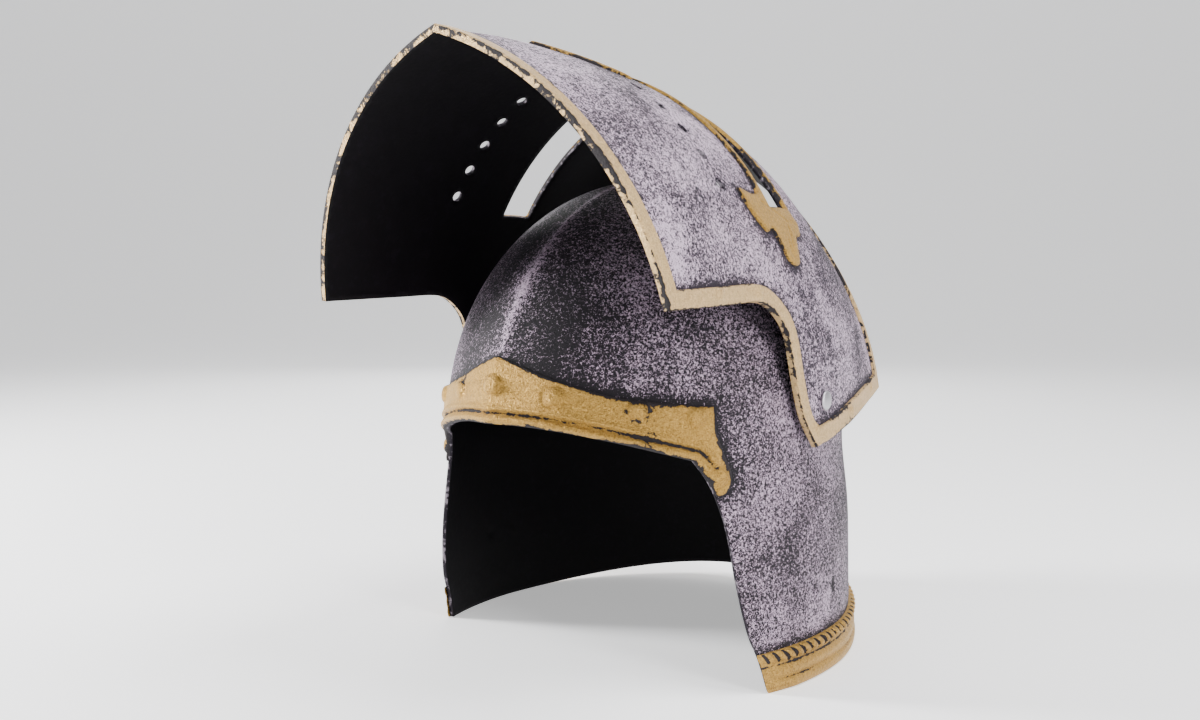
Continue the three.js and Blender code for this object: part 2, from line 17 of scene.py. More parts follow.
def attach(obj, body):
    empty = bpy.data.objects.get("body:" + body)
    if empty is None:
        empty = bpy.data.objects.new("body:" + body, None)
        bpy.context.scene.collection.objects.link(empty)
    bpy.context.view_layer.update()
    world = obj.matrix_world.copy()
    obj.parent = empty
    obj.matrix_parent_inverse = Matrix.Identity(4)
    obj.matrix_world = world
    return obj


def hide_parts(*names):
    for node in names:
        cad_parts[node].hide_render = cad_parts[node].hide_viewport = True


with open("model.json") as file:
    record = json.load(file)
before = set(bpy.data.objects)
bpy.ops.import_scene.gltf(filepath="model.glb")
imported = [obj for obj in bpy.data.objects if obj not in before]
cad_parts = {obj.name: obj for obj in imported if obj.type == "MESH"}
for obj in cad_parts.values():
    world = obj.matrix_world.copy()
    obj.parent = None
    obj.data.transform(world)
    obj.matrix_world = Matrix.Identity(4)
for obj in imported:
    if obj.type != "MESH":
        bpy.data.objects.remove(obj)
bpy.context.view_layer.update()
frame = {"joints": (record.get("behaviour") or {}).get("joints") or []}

# %% [markdown]
# ## Millimetres about the crown
# The shell is easiest to describe in millimetres about the crown's upright axis, with the
# rim at height zero. The frame is in metres with its origin under the middle of the whole
# piece, so one helper moves points across. The hinge's place says how far apart the two are.

# %% From millimetres about the crown to metres in the frame
PIVOT_BACK = 5.0
PIVOT_HEIGHT = 133.0
METRES = 0.001
FRAME_SHIFT = frame["joints"][0]["pos_m"][1] / METRES - PIVOT_BACK


def to_frame(points):
    return (np.asarray(points, float) + (0.0, FRAME_SHIFT, 0.0)) * METRES


def linked(name, data):
    thing = bpy.data.objects.new(name, data)
    bpy.context.scene.collection.objects.link(thing)
    return thing


print("crown axis stands", round(FRAME_SHIFT, 2), "mm behind the origin")

# %% [markdown]
# ## The camera
# The camera's place, turn and tilt come from matching edges of the helmet with the
# photograph. The lens is as long as the sensor is wide, which gives the same perspective.

# %% Camera
CAMERA_PLACE = (361.4, -531.8, 201.7)
CAMERA_AZIMUTH = 36.29
CAMERA_PITCH = 4.76
lens = bpy.data.cameras.new("camera")
lens.sensor_width = 36.0
lens.lens = 36.0
lens.clip_start = 0.01
camera = linked("camera", lens)
camera.location = to_frame(CAMERA_PLACE)
camera.rotation_euler = (math.radians(90 - CAMERA_PITCH), 0, math.radians(CAMERA_AZIMUTH))
bpy.context.scene.camera = camera
print("camera at", [round(value, 3) for value in camera.location])

# %% [markdown]
# ## Light
# A soft box from the left lights the near side of the fold, and one from the right rakes
# along the wall and the visor, so the dome between them stays dark. One above and one behind
# soften the rest. Wide lamps give soft edges, as a studio's do, and a sun would not.

# %% Lights and the pale room
AIM = (0.0, 0.0, 0.16)
SOFT_BOXES = [  # name, place, width and height in metres, power in watts
    ("key_light", (-1.15, -0.65, 0.6), (0.3, 0.6), 46),
    ("side_light", (1.4, -0.3, 0.6), (0.35, 0.7), 20),
    ("top_light", (0.6, 0.1, 1.4), (0.6, 0.6), 22),
    ("back_light", (-0.9, 1.1, 0.7), (0.8, 0.8), 8)]
for name, place, size, power in SOFT_BOXES:
    light = bpy.data.lights.new(name, "AREA")
    light.shape = "RECTANGLE"
    light.size, light.size_y = size
    light.energy = power
    lamp = linked(name, light)
    lamp.location = place
    lamp.rotation_euler = (Vector(AIM) - Vector(place)).to_track_quat("-Z", "Y").to_euler()

room = bpy.data.worlds.new("pale_room")
room.use_nodes = True
room.node_tree.nodes["Background"].inputs["Color"].default_value = (0.97, 0.97, 1.0, 1)
room.node_tree.nodes["Background"].inputs["Strength"].default_value = 0.3
bpy.context.scene.world = room
print(len(SOFT_BOXES), "soft boxes")

# %% [markdown]
# ## Floor and backdrop
# The floor sweeps up behind the helmet into a pale backdrop, as it does in a catalogue
# picture. One strip of faces with a round bend shows no line where floor and wall meet.

# %% Make the floor
STAGE_HALF_WIDTH = 7.0
STAGE_NEAR = -4.0
STAGE_BEND = 2.2
STAGE_SWEEP = 1.6
STAGE_HEIGHT = 6.0
sweep = [(STAGE_BEND + STAGE_SWEEP * math.sin(t), STAGE_SWEEP * (1 - math.cos(t)))
         for t in np.linspace(0, math.pi / 2, 24)]
stage_profile = [(STAGE_NEAR, 0.0), *sweep, (STAGE_BEND + STAGE_SWEEP, STAGE_HEIGHT)]
stage_points = [(side, away, height) for away, height in stage_profile
                for side in (-STAGE_HALF_WIDTH, STAGE_HALF_WIDTH)]
stage_faces = [(2 * i, 2 * i + 1, 2 * i + 3, 2 * i + 2) for i in range(len(stage_profile) - 1)]
stage_mesh = bpy.data.meshes.new("floor")
stage_mesh.from_pydata(stage_points, [], stage_faces)
stage_mesh.shade_smooth()
floor = linked("floor", stage_mesh)
floor.rotation_euler = (0, 0, math.radians(CAMERA_AZIMUTH))
pale = bpy.data.materials.new("pale_floor")
pale.use_nodes = True
for key, value in (("Base Color", (0.93, 0.93, 0.94, 1)), ("Roughness", 0.9), ("Specular IOR Level", 0.1),
                   ("Emission Color", (1, 1, 1, 1)), ("Emission Strength", 0.5)):
    pale.node_tree.nodes["Principled BSDF"].inputs[key].default_value = value
floor.data.materials.append(pale)
print("stage", len(stage_points), "points")

# %% [markdown]
# ## Reading a table of shares
# A moulded shell changes its width and height slowly along its length. A short table of
# shares says how, and a smooth curve through the rows fills in between. Sculpting by hand
# could give the same shape, but a table can be read, compared and changed.


# %% Smooth reading between the rows of a table
def read_table(rows, at):
    keys, values = np.array(rows, float).T
    last = len(keys) - 1
    before = np.maximum(np.arange(last + 1) - 1, 0)
    after = np.minimum(np.arange(last + 1) + 1, last)
    slopes = (values[after] - values[before]) / (keys[after] - keys[before])
    at = np.asarray(at, float)
    i = np.clip(np.searchsorted(keys, at, side="left") - 1, 0, last - 1)
    span = keys[i + 1] - keys[i]
    t = np.clip((at - keys[i]) / span, 0, 1)
    return ((2 * t**3 - 3 * t**2 + 1) * values[i] + (t**3 - 2 * t**2 + t) * span * slopes[i]
            + (3 * t**2 - 2 * t**3) * values[i + 1] + (t**3 - t**2) * span * slopes[i + 1])


print("a quarter of the way from 0 to 1 reads", float(read_table([(0, 0), (1, 1)], 0.25)))

# %% [markdown]
# ## The skull piece's surface
# The skull piece is a dome on nearly upright walls, with a soft fold down the front. Any
# point of it is found from an angle about the crown and a climb from the rim, which is 1 at
# the brow and 2 at the crown. The same formula gave the solid its facets.

# %% Sizes of the skull piece, in millimetres
SKULL_HALF_WIDTH = 101.0
SKULL_FRONT = 126.0
SKULL_BACK = 122.0
WALL_HEIGHT = 120.0
DOME_HEIGHT = 124.0
CROWN_SETBACK = 8.0
SHELL_THICKNESS = 2.0
RIM_RISE = 11.0
RISE_START = 20.0
KEEL_AT_BROW = 0.24
KEEL_AT_CROWN = 0.1
GAP = 0.3
WALL_WIDTH = [(0, 1.07), (0.12, 1.063), (0.25, 1.06), (0.6, 1.045), (0.86, 1.004), (1, 1)]
WALL_FRONT = [(0, 1.06), (0.12, 1.06), (0.25, 1.06), (0.6, 1.02), (0.86, 1.005), (1, 1)]
WALL_KEEL = [(0, 0), (0.12, 0.05), (0.25, 0.15), (0.6, 0.6), (0.86, 0.87), (1, 1)]
print("the dome adds", DOME_HEIGHT, "mm to walls of", WALL_HEIGHT, "mm")


# %% A point of the skull piece from its angle and climb
def skull_surface(angle, climb):
    angle, climb = np.broadcast_arrays(np.asarray(angle, float), np.asarray(climb, float))
    on_dome = np.maximum(0, climb - 1)
    rise = on_dome * math.pi / 2
    level = np.clip(climb, 0, 1)
    front = SKULL_FRONT * read_table(WALL_FRONT, level)
    brow_keel = KEEL_AT_BROW * read_table(WALL_KEEL, level)
    keel = brow_keel + (KEEL_AT_CROWN - KEEL_AT_BROW) * on_dome
    side, ahead = np.sin(angle), np.cos(angle)
    folded = (1 - keel) * np.abs(ahead) + keel * (1 - np.abs(side))
    depth = np.where(ahead > 0, -front * folded, SKULL_BACK * -ahead)
    foot = RIM_RISE * np.maximum(0, (depth - RISE_START) / (SKULL_BACK - RISE_START)) ** 2
    return np.stack([
        SKULL_HALF_WIDTH * read_table(WALL_WIDTH, level) * np.cos(rise) * side,
        depth * np.cos(rise) + CROWN_SETBACK * np.sin(rise),
        foot + (WALL_HEIGHT - foot) * level + DOME_HEIGHT * np.sin(rise),
    ], axis=-1)


def skull_point(angle, climb, offset):
    step = 0.01
    around = skull_surface(angle + step, climb) - skull_surface(angle - step, climb)
    up = skull_surface(angle, climb + step) - skull_surface(angle, np.maximum(0, climb - step))
    normal = np.cross(around, up)
    normal /= np.maximum(np.linalg.norm(normal, axis=-1, keepdims=True), 1e-9)
    return skull_surface(angle, climb) + normal * np.asarray(offset)[..., None]


# %% The climb and the angle of a place in the front view
def climb_at(height):
    height = np.asarray(height, float)
    on_dome = np.arcsin(np.clip((height - WALL_HEIGHT) / DOME_HEIGHT, 0, 1)) / (math.pi / 2)
    return np.where(height < WALL_HEIGHT, height / WALL_HEIGHT, 1 + on_dome)


def half_width_at(climb):
    on_dome = np.maximum(0, climb - 1)
    return SKULL_HALF_WIDTH * read_table(WALL_WIDTH, np.minimum(1, climb)) * np.cos(on_dome * math.pi / 2)


def angle_at(across, height):
    return np.arcsin(np.clip(across / half_width_at(climb_at(height)), -1, 1))


print("crown", np.round(skull_surface(0.0, 2.0), 1), "brow fold", np.round(skull_surface(0.0, 1.0), 1))

# %% [markdown]
# ## The face opening
# The opening is cut by a blade that sees the helmet from the front: two cheek edges that
# lean in towards the temples, and a shallow arch under the brow. The shell's rows of points
# can start right on that edge, so no cutting is needed and the edge stays clean.

# %% The edge of the face opening
FACE_HALF_WIDTH = 102.0
FACE_HEIGHT = 127.5
TEMPLE_HEIGHT = 110.5
CHEEK_EDGE = [(0, 1), (0.15, 0.975), (0.27, 0.95), (0.5, 0.907), (0.7, 0.868), (0.85, 0.82),
              (0.93, 0.785), (1, 0.745)]
TEMPLE_HALF_WIDTH = FACE_HALF_WIDTH * CHEEK_EDGE[-1][1]


def opening_half_width(height):
    cheek = FACE_HALF_WIDTH * read_table(CHEEK_EDGE, np.minimum(height / TEMPLE_HEIGHT, 1))
    share = np.clip((FACE_HEIGHT - height) / (FACE_HEIGHT - TEMPLE_HEIGHT), 0, 1)
    return np.where(height < TEMPLE_HEIGHT, cheek, TEMPLE_HALF_WIDTH * np.sqrt(share))


print("the opening is", round(2 * TEMPLE_HALF_WIDTH, 1), "mm wide at the temples")

# %% [markdown]
# ## From points to a piece
# Every skin is made in the same way: points and faces become a mesh, the mesh gets smooth
# shading, rides on its body, stands for its solid and takes that solid's finish. Numbers
# kept at its points tell the paint where wear and brush misses are, and where painted shade
# and painted highlights go.


# %% Helpers that make a piece
def grid_faces(rows, columns, closed=False):
    faces = []
    for r in range(rows - 1):
        for c in range(columns if closed else columns - 1):
            a, b = r * columns + c, r * columns + (c + 1) % columns
            faces.append((a, b, b + columns, a + columns))
    return faces


def make_piece(name, points, faces, body, node, weld=None, wear_and_painted_light=None):
    mesh = bpy.data.meshes.new(name)
    mesh.from_pydata(to_frame(points).tolist(), [], [tuple(map(int, face)) for face in faces])
    # Wear, brush misses, painted shade and painted highlights, one number at each point.
    if wear_and_painted_light is not None:
        layer = mesh.attributes.new("wear_and_painted_light", "FLOAT", "POINT")
        layer.data.foreach_set("value", np.asarray(wear_and_painted_light, np.float32))
    if weld:
        bm = bmesh.new()
        bm.from_mesh(mesh)
        bmesh.ops.remove_doubles(bm, verts=bm.verts, dist=weld * METRES)
        bm.to_mesh(mesh)
        bm.free()
    mesh.shade_smooth()
    piece = linked(name, mesh)
    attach(piece, body)
    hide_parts(node)
    print(name, len(mesh.vertices), "points", len(mesh.polygons), "faces")
    return piece


def thicken(piece, millimetres):
    shell = piece.modifiers.new("wall", "SOLIDIFY")
    shell.thickness = millimetres * METRES
    shell.offset = -1
    shell.use_even_offset = True
    shell.material_offset = 1
    shell.material_offset_rim = 2


print("a grid of 3 by 3 points has", len(grid_faces(3, 3)), "faces")

# %% [markdown]
# ## Shapes cut from a sheet
# The visor with its slits and holes, the cross and the brow band are flat patterns bent onto
# a curved surface. A pattern is drawn in millimetres, filled with evenly spaced points, and
# joined into small even triangles, whose edges keep to the pattern's outline. Bending moves
# the points only, so a straight-sided slit follows the vault exactly.


# %% Smooth runs and rounded corners
def through(points, spacing):
    """A smooth run through the points, with new points at an even spacing."""
    points = np.asarray(points, float)
    ends = np.vstack([2 * points[0] - points[1], points, 2 * points[-1] - points[-2]])
    run = []
    for a, b, c, d in zip(ends, ends[1:], ends[2:], ends[3:]):
        steps = max(1, int(round(np.linalg.norm(c - b) / spacing)))
        for t in np.arange(steps) / steps:
            run.append(0.5 * (2 * b + (c - a) * t + (2 * a - 5 * b + 4 * c - d) * t**2
                              + (3 * b - a - 3 * c + d) * t**3))
    run.append(points[-1])
    return np.array(run)


def travelled_along(line):
    """The length walked from the start of a line to each of its points."""
    return np.concatenate([[0], np.cumsum(np.linalg.norm(np.diff(line, axis=0), axis=1))])


def places_at(line, shares):
    """The places at these shares of a line's length."""
    travelled = travelled_along(line)
    return np.stack([np.interp(shares * travelled[-1], travelled, line[:, k]) for k in (0, 1)], axis=1)


def resampled(points, spacing):
    """A closed outline with points at an even spacing."""
    closed = np.vstack([points, points[:1]])
    apart = np.linalg.norm(np.diff(closed, axis=0), axis=1) > 1e-6
    closed = closed[np.append(apart, True)]
    count = max(8, int(round(travelled_along(closed)[-1] / spacing)))
    return places_at(closed, np.arange(count) / count)


def rounded(points, radius, spacing=0.8):
    """A closed outline with its corners rounded and points at an even spacing."""
    points = np.asarray(points, float)
    corners = []
    for a, b, c in zip(np.roll(points, 1, axis=0), points, np.roll(points, -1, axis=0)):
        back, ahead = a - b, c - b
        reach_back = min(radius, 0.45 * np.linalg.norm(back)) / max(np.linalg.norm(back), 1e-9)
        reach_ahead = min(radius, 0.45 * np.linalg.norm(ahead)) / max(np.linalg.norm(ahead), 1e-9)
        start, end = b + back * reach_back, b + ahead * reach_ahead
        for t in (0, 0.25, 0.5, 0.75, 1):
            corners.append((1 - t) ** 2 * start + 2 * t * (1 - t) * b + t**2 * end)
    return resampled(np.array(corners), spacing)


SQUARE = np.array([(0, 0), (10, 0), (10, 10), (0, 10)], float)
print("a rounded square of 10 mm has", len(rounded(SQUARE, 2.0)), "points")


# %% [markdown]
# Two questions come up all the time: how far is a place from an outline, and is it inside?
# Both are asked of thousands of places, so they are worked out in chunks, not one by one.


# %% Distances and insides of outlines
def distance_to(loop, points, closed=True):
    loop, points = np.asarray(loop, float), np.asarray(points, float)
    starts = loop if closed else loop[:-1]
    spans = (np.roll(loop, -1, axis=0) if closed else loop[1:]) - starts
    nearest = []
    for chunk in np.array_split(points, max(1, len(points) // 1500)):
        away = chunk[:, None, :] - starts[None]
        share = (away * spans).sum(-1) / np.maximum((spans**2).sum(-1), 1e-12)
        foot = away - np.clip(share, 0, 1)[..., None] * spans
        nearest.append(np.sqrt((foot**2).sum(-1)).min(1))
    return np.concatenate(nearest)


def nearest_of(loops, points):
    return np.min([distance_to(loop, points) for loop in loops], axis=0)


def inside_of(loops, points):
    odd = np.zeros(len(points), bool)
    for starts in loops:
        ends = np.roll(starts, -1, axis=0)
        for chunk in np.array_split(np.arange(len(points)), max(1, len(points) // 1500)):
            u, v = points[chunk, 0][:, None], points[chunk, 1][:, None]
            crosses = (starts[:, 1] > v) != (ends[:, 1] > v)
            rise = np.where(ends[:, 1] == starts[:, 1], 1e-12, ends[:, 1] - starts[:, 1])
            at = starts[:, 0] + (v - starts[:, 1]) / rise * (ends[:, 0] - starts[:, 0])
            odd[chunk] ^= ((crosses & (u < at)).sum(1) % 2).astype(bool)
    return odd


square_middle = SQUARE.mean(0)[None]
print("the square's middle is inside:", inside_of([SQUARE], square_middle)[0],
      "and its edge is", nearest_of([SQUARE], square_middle)[0], "mm away")


# %% [markdown]
# A sheet starts as a honeycomb of points inside its outline. A constrained triangulation
# joins them and keeps the outline's own edges. Filling with one large face would bend badly.


# %% Fill an outline with even triangles
def filled_sheet(loops, spacing):
    everything = np.vstack(loops)
    low, high = everything.min(0), everything.max(0)
    pitch = spacing * math.sqrt(3) / 2
    columns = []
    for k in range(math.floor(low[0] / pitch), math.ceil(high[0] / pitch) + 1):
        start = low[1] + (k % 2) * spacing / 2
        along = np.arange(start, high[1], spacing)
        columns.append(np.stack([np.full_like(along, k * pitch), along], axis=1))
    inner = np.vstack(columns)
    inner = inner[inside_of(loops, inner)]
    inner = inner[nearest_of(loops, inner) > 0.55 * spacing]
    points, edges = [], []
    for loop in loops:
        first = len(points)
        points.extend(loop.tolist())
        edges.extend((first + i, first + (i + 1) % len(loop)) for i in range(len(loop)))
    boundary = len(points)
    points.extend(inner.tolist())
    flat, _, triangles, _, _, _ = geometry.delaunay_2d_cdt([Vector(p) for p in points], edges, [], 0, 1e-7)
    flat = np.array([tuple(p) for p in flat])
    triangles = np.array(triangles)
    triangles = triangles[inside_of(loops, flat[triangles].mean(1))]
    a, b, c = flat[triangles[:, 0]], flat[triangles[:, 1]], flat[triangles[:, 2]]
    turn = (b[:, 0] - a[:, 0]) * (c[:, 1] - a[:, 1]) - (b[:, 1] - a[:, 1]) * (c[:, 0] - a[:, 0])
    triangles[turn < 0] = triangles[turn < 0][:, ::-1]
    return flat, triangles, boundary


print("filled at 1 mm it has", len(filled_sheet([SQUARE], 1.0)[1]), "triangles")


# %% [markdown]
# Cast relief is such a sheet with a height at each point and a short wall round it that
# goes down into the shell, so that no gap shows under its edge.


# %% A raised shape with an upright edge
def raised(loops, spacing, relief, foot=-0.4):
    """Flat places, the height of each, and faces, with an edge wall down to the foot."""
    flat, triangles, boundary = filled_sheet(loops, spacing)
    faces = [tuple(face) for face in triangles]
    low, first = len(flat), 0
    for loop in loops:
        for i in range(len(loop)):
            a, b = first + i, first + (i + 1) % len(loop)
            faces.append((low + a, low + b, b, a))
        first += len(loop)
    heights = np.concatenate([relief(flat), np.full(boundary, foot)])
    return np.vstack([flat, flat[:boundary]]), heights, faces


def wound(loop, left=True):
    """The loop, turning left for an outline and right for an opening in it."""
    ahead = np.roll(loop, -1, axis=0)
    area = 0.5 * float((loop[:, 0] * ahead[:, 1] - ahead[:, 0] * loop[:, 1]).sum())
    return loop if (area > 0) == left else loop[::-1].copy()


print("turned the other way, the square starts at", wound(SQUARE, left=False)[0])

# %% [markdown]
# ## The skull piece
# Its skin is one grid of points: rows climb from the rim to the crown, and each row runs
# round the back from one side of the opening to the other. Above the arch the rows close on
# the front fold, and their ends are welded. A solidify modifier then gives the wall.

# %% Points of the skull piece
SKULL_COLUMNS = 264
WALL_ROWS, ARCH_ROWS, DOME_ROWS = 50, 22, 66
LIFT = 0.12  # the wall's inner face leans out and would reach this far below the rim
wall_rows = np.linspace(LIFT, TEMPLE_HEIGHT, WALL_ROWS, endpoint=False)
arch_rows = FACE_HEIGHT - (FACE_HEIGHT - TEMPLE_HEIGHT) * np.linspace(1, 0, ARCH_ROWS) ** 2
dome_rows = WALL_HEIGHT + DOME_HEIGHT * np.sin(
    np.linspace((climb_at(FACE_HEIGHT) - 1) * math.pi / 2, math.pi / 2, DOME_ROWS)[1:])
row_heights = np.concatenate([wall_rows, arch_rows, dome_rows])
edge_angles = np.where(row_heights < FACE_HEIGHT,
                       angle_at(opening_half_width(row_heights), row_heights), 0)
around = np.linspace(0, 1, SKULL_COLUMNS)
angles = edge_angles[:, None] + (2 * math.pi - 2 * edge_angles[:, None]) * around
skull_places = skull_surface(angles, climb_at(row_heights)[:, None]).reshape(-1, 3)
print("skull piece:", len(row_heights), "rows of", SKULL_COLUMNS, "points")

# %% [markdown]
# ## The brow band
# A raised gold band follows the arch, peaks on the fold and ends in a tail at each temple.
# It is cast relief, so its heights matter more than its outline: a rolled bead along the
# opening, a groove beside it, a flat field with round studs, and a soft upper edge.

# %% Outline of the brow band, in angle and height
BROW_BAND_PEAK = 30.5
BROW_BAND_REACH = 80.7
BROW_BAND_TAIL = 16.7
BROW_BAND_TAIL_WIDTH = 3.0
BAND_TOP = [(0, 1), (0.13, 0.87), (0.35, 0.64), (0.5, 0.51), (0.63, 0.41), (0.8, 0.33), (0.95, 0.26),
            (1, 0.24)]
UNROLLED = 100.0  # an angle of one radian is drawn this long
tail_tip = TEMPLE_HEIGHT - BROW_BAND_TAIL
tail_half_width = float(opening_half_width(tail_tip))


def unrolled(front_view):
    across, height = np.asarray(front_view, float).T
    return np.stack([UNROLLED * angle_at(across, height), height], axis=1)


arch = [(TEMPLE_HALF_WIDTH * s, FACE_HEIGHT - (FACE_HEIGHT - TEMPLE_HEIGHT) * s**2)
        for s in np.linspace(0, 1, 40)]
cheek = [(float(opening_half_width(z)), z) for z in np.linspace(TEMPLE_HEIGHT, tail_tip, 9)[1:]]
opening_edge = unrolled(arch + cheek)
upper = through([(BROW_BAND_REACH * across, FACE_HEIGHT + BROW_BAND_PEAK * climb)
                 for across, climb in BAND_TOP], 1.5)
tail = through([
    (tail_half_width + 0.3, tail_tip - 0.2),
    (tail_half_width + BROW_BAND_TAIL_WIDTH * 0.55, tail_tip + 0.3),
    (tail_half_width + BROW_BAND_TAIL_WIDTH, tail_tip + BROW_BAND_TAIL * 0.2),
    (tail_half_width + BROW_BAND_TAIL_WIDTH * 0.95, tail_tip + BROW_BAND_TAIL * 0.6),
    (BROW_BAND_REACH + BROW_BAND_TAIL_WIDTH * 1.15, TEMPLE_HEIGHT + BROW_BAND_TAIL * 0.15),
    (BROW_BAND_REACH + BROW_BAND_TAIL_WIDTH * 0.35, TEMPLE_HEIGHT + BROW_BAND_TAIL * 0.8),
    (BROW_BAND_REACH, TEMPLE_HEIGHT + BROW_BAND_TAIL * 1.4)], 1.0)
left_half = np.vstack([opening_edge, unrolled(tail), unrolled(upper[::-1])[:-1]])
right_half = np.vstack([left_half[1:] * (-1, 1)])[::-1]
brow_loop = wound(resampled(np.vstack([left_half, unrolled([upper[0]]), right_half]), 0.9))
arch_line = np.vstack([opening_edge[::-1], opening_edge[1:] * (-1, 1)])
print("brow band outline", len(brow_loop), "points")

# %% [markdown]
# ## Heights on the brow band
# The studs are domes on the field with a faint ring pressed round each. The bead and its
# groove die out down the tails, where the casting is plain.

# %% Relief of the brow band and the studs on it
TRIM_THICKNESS = 1.6
TRIM_SPACING = 0.95
STUD_RADIUS = 4.6
STUD_HEIGHT = 1.9
MIDDLE_STUD = [(0.0, 144.9)]
SIDE_STUDS = [(27.3, 139.9), (57.7, 134.1), (76.0, 130.5), (83.2, 102.5)]
ARCH_FADE_BELOW = 8.0
ARCH_FADE = 12.0
BROW_GROOVE = (-1.4, 4.9, 0.9)  # height, distance from the opening, width
BROW_RIDGES = [(1.3, 2.0, 1.5), BROW_GROOVE, (0.9, 7.0, 1.2)]
stud_places = unrolled(MIDDLE_STUD + SIDE_STUDS + [(-across, height) for across, height in SIDE_STUDS])


def bell(away, width):
    """1 at no distance, falling smoothly to nothing."""
    return np.exp(-(away / width) ** 2)


def dome_bump(away, radius, height):
    return height * np.sqrt(np.clip(1 - (away / radius) ** 2, 0, 1))


def on_arch(flat):
    return np.clip((flat[:, 1] - TEMPLE_HEIGHT + ARCH_FADE_BELOW) / ARCH_FADE, 0, 1)


def brow_relief(flat):
    from_opening = distance_to(arch_line, flat, closed=False)
    heights = GAP + TRIM_THICKNESS
    for height, middle, width in BROW_RIDGES:
        heights = heights + height * bell(from_opening - middle, width) * on_arch(flat)
    heights = heights - 0.9 * np.exp(-distance_to(brow_loop, flat) / 0.9)
    for stud in stud_places:
        away = np.linalg.norm(flat - stud, axis=1)
        heights = heights + dome_bump(away, STUD_RADIUS, STUD_HEIGHT)
        heights = heights - 0.3 * bell(away - STUD_RADIUS, 0.7)
    return heights


print("the middle stud stands", round(float(brow_relief(stud_places[:1])[0]), 2), "mm off the shell")


# %% Make the brow band
flat, heights, faces = raised([brow_loop], TRIM_SPACING, brow_relief)
brow_points = skull_point(flat[:, 0] / UNROLLED, climb_at(flat[:, 1]), heights)
near_stud = np.min([np.abs(np.linalg.norm(flat - stud, axis=1) - STUD_RADIUS)
                    for stud in stud_places], axis=0)
in_groove = bell(distance_to(arch_line, flat, False) - BROW_GROOVE[1], BROW_GROOVE[2]) * on_arch(flat)
# Darker at the edges from wear; in the groove and round the studs from wear and painted shade.
brow_wear_and_shade = np.maximum.reduce([np.exp(-distance_to(brow_loop, flat) / 1.3), 0.9 * in_groove,
                               0.35 * np.exp(-near_stud / 0.8)])
brow_band = make_piece("brow_band_skin", brow_points, faces, "skull", "brow_band",
                       wear_and_painted_light=brow_wear_and_shade)

# %% [markdown]
# ## Painted light and brush misses on the skull piece
# The dry brush misses the plastic close beside a raised band, and painted shade darkens that
# crease as well. The soft valley on each side of the fold is darker from thinner paint and
# painted shade, and the fold itself gets a painted highlight. Each cheek also has a small stud
# with a painted highlight on it and a painted shadow above it, and a pit darkened with painted
# shade. So each point carries a number that the paint reads later.

# %% Painted light and brush misses on the skull piece
RIM_BAND_HEIGHT = 19.0
CHEEK_STUD = (105.6, -5.9, 39.9)
CHEEK_PIT = (106.6, 13.0, 39.5)
PIT_STRETCH = (1, 1, 1.7)
# Where the painted shadow of each cheek stud lies, measured from the stud.
STUD_SHADOW_FROM_STUD = (0, -1.5, 3.6)
FOLD_START = 128.0
FOLD_FADE = 25.0


def nearness(points, others, reach):
    near = []
    for chunk in np.array_split(points, max(1, len(points) // 2000)):
        near.append(np.sqrt(((chunk[:, None] - others[None]) ** 2).sum(-1)).min(1))
    return np.exp(-np.concatenate(near) / reach)


rim_line = skull_surface(np.linspace(0, 2 * math.pi, 400), RIM_BAND_HEIGHT / WALL_HEIGHT)
band_rim = skull_surface(brow_loop[::3, 0] / UNROLLED, climb_at(brow_loop[::3, 1]))
# Darker beside the bands: thinner paint, and painted shade in the crease.
beside_trim = np.maximum(nearness(skull_places, band_rim, 2.2), nearness(skull_places, rim_line, 1.5))
on_side = skull_places * np.where(skull_places[:, :1] < 0, (-1, 1, 1), (1, 1, 1))
from_stud = np.linalg.norm(on_side - CHEEK_STUD, axis=1)
# A painted shadow above and in front of each cheek stud.
from_stud_shadow = np.linalg.norm(on_side - CHEEK_STUD - STUD_SHADOW_FROM_STUD, axis=1)
from_pit = np.linalg.norm((on_side - CHEEK_PIT) / PIT_STRETCH, axis=1)
cheek_relief = dome_bump(from_stud, 2.8, 1.3) - dome_bump(from_pit, 1.5, 0.6)
skull_places[:, 0] += np.sign(skull_places[:, 0]) * cheek_relief
# The pit is darkened with painted shade.
skull_misses_and_painted_light = np.maximum.reduce([beside_trim, 1.2 * bell(from_stud_shadow, 2.0), 1.6 * bell(from_pit, 1.8)])
# The cheek stud's top gets a painted highlight.
skull_misses_and_painted_light = skull_misses_and_painted_light - 1.3 * bell(from_stud, 2.4)
fold = np.minimum(angles, 2 * math.pi - angles).reshape(-1)
on_dome = np.clip((skull_places[:, 2] - FOLD_START) / FOLD_FADE, 0, 1)
# Darker valleys beside the fold: thinner paint and painted shade.
skull_misses_and_painted_light = np.maximum(skull_misses_and_painted_light, 0.32 * bell(fold - 0.22, 0.2) * on_dome)
# The fold's crest gets a painted highlight.
skull_misses_and_painted_light = skull_misses_and_painted_light - 0.45 * bell(fold, 0.03) * on_dome
# Points with much painted shade are counted here too.
print("points the brush misses", int((skull_misses_and_painted_light > 0.5).sum()))

# %% Make the skull piece
skull = make_piece("skull_skin", skull_places, grid_faces(len(row_heights), SKULL_COLUMNS), "skull", "skull",
                   weld=0.02, wear_and_painted_light=skull_misses_and_painted_light)
thicken(skull, SHELL_THICKNESS)

# %% [markdown]
# ## The rim band
# Round the foot runs a gold moulding: a smooth rolled lip, a shallow hollow above it, and a
# rope on top. A rope that is cast in one piece is a round bead with slanted grooves, so one
# grid is enough: the bead's height drops in a slanted wave. Modelling each strand would
# give deeper gaps than the moulding has.

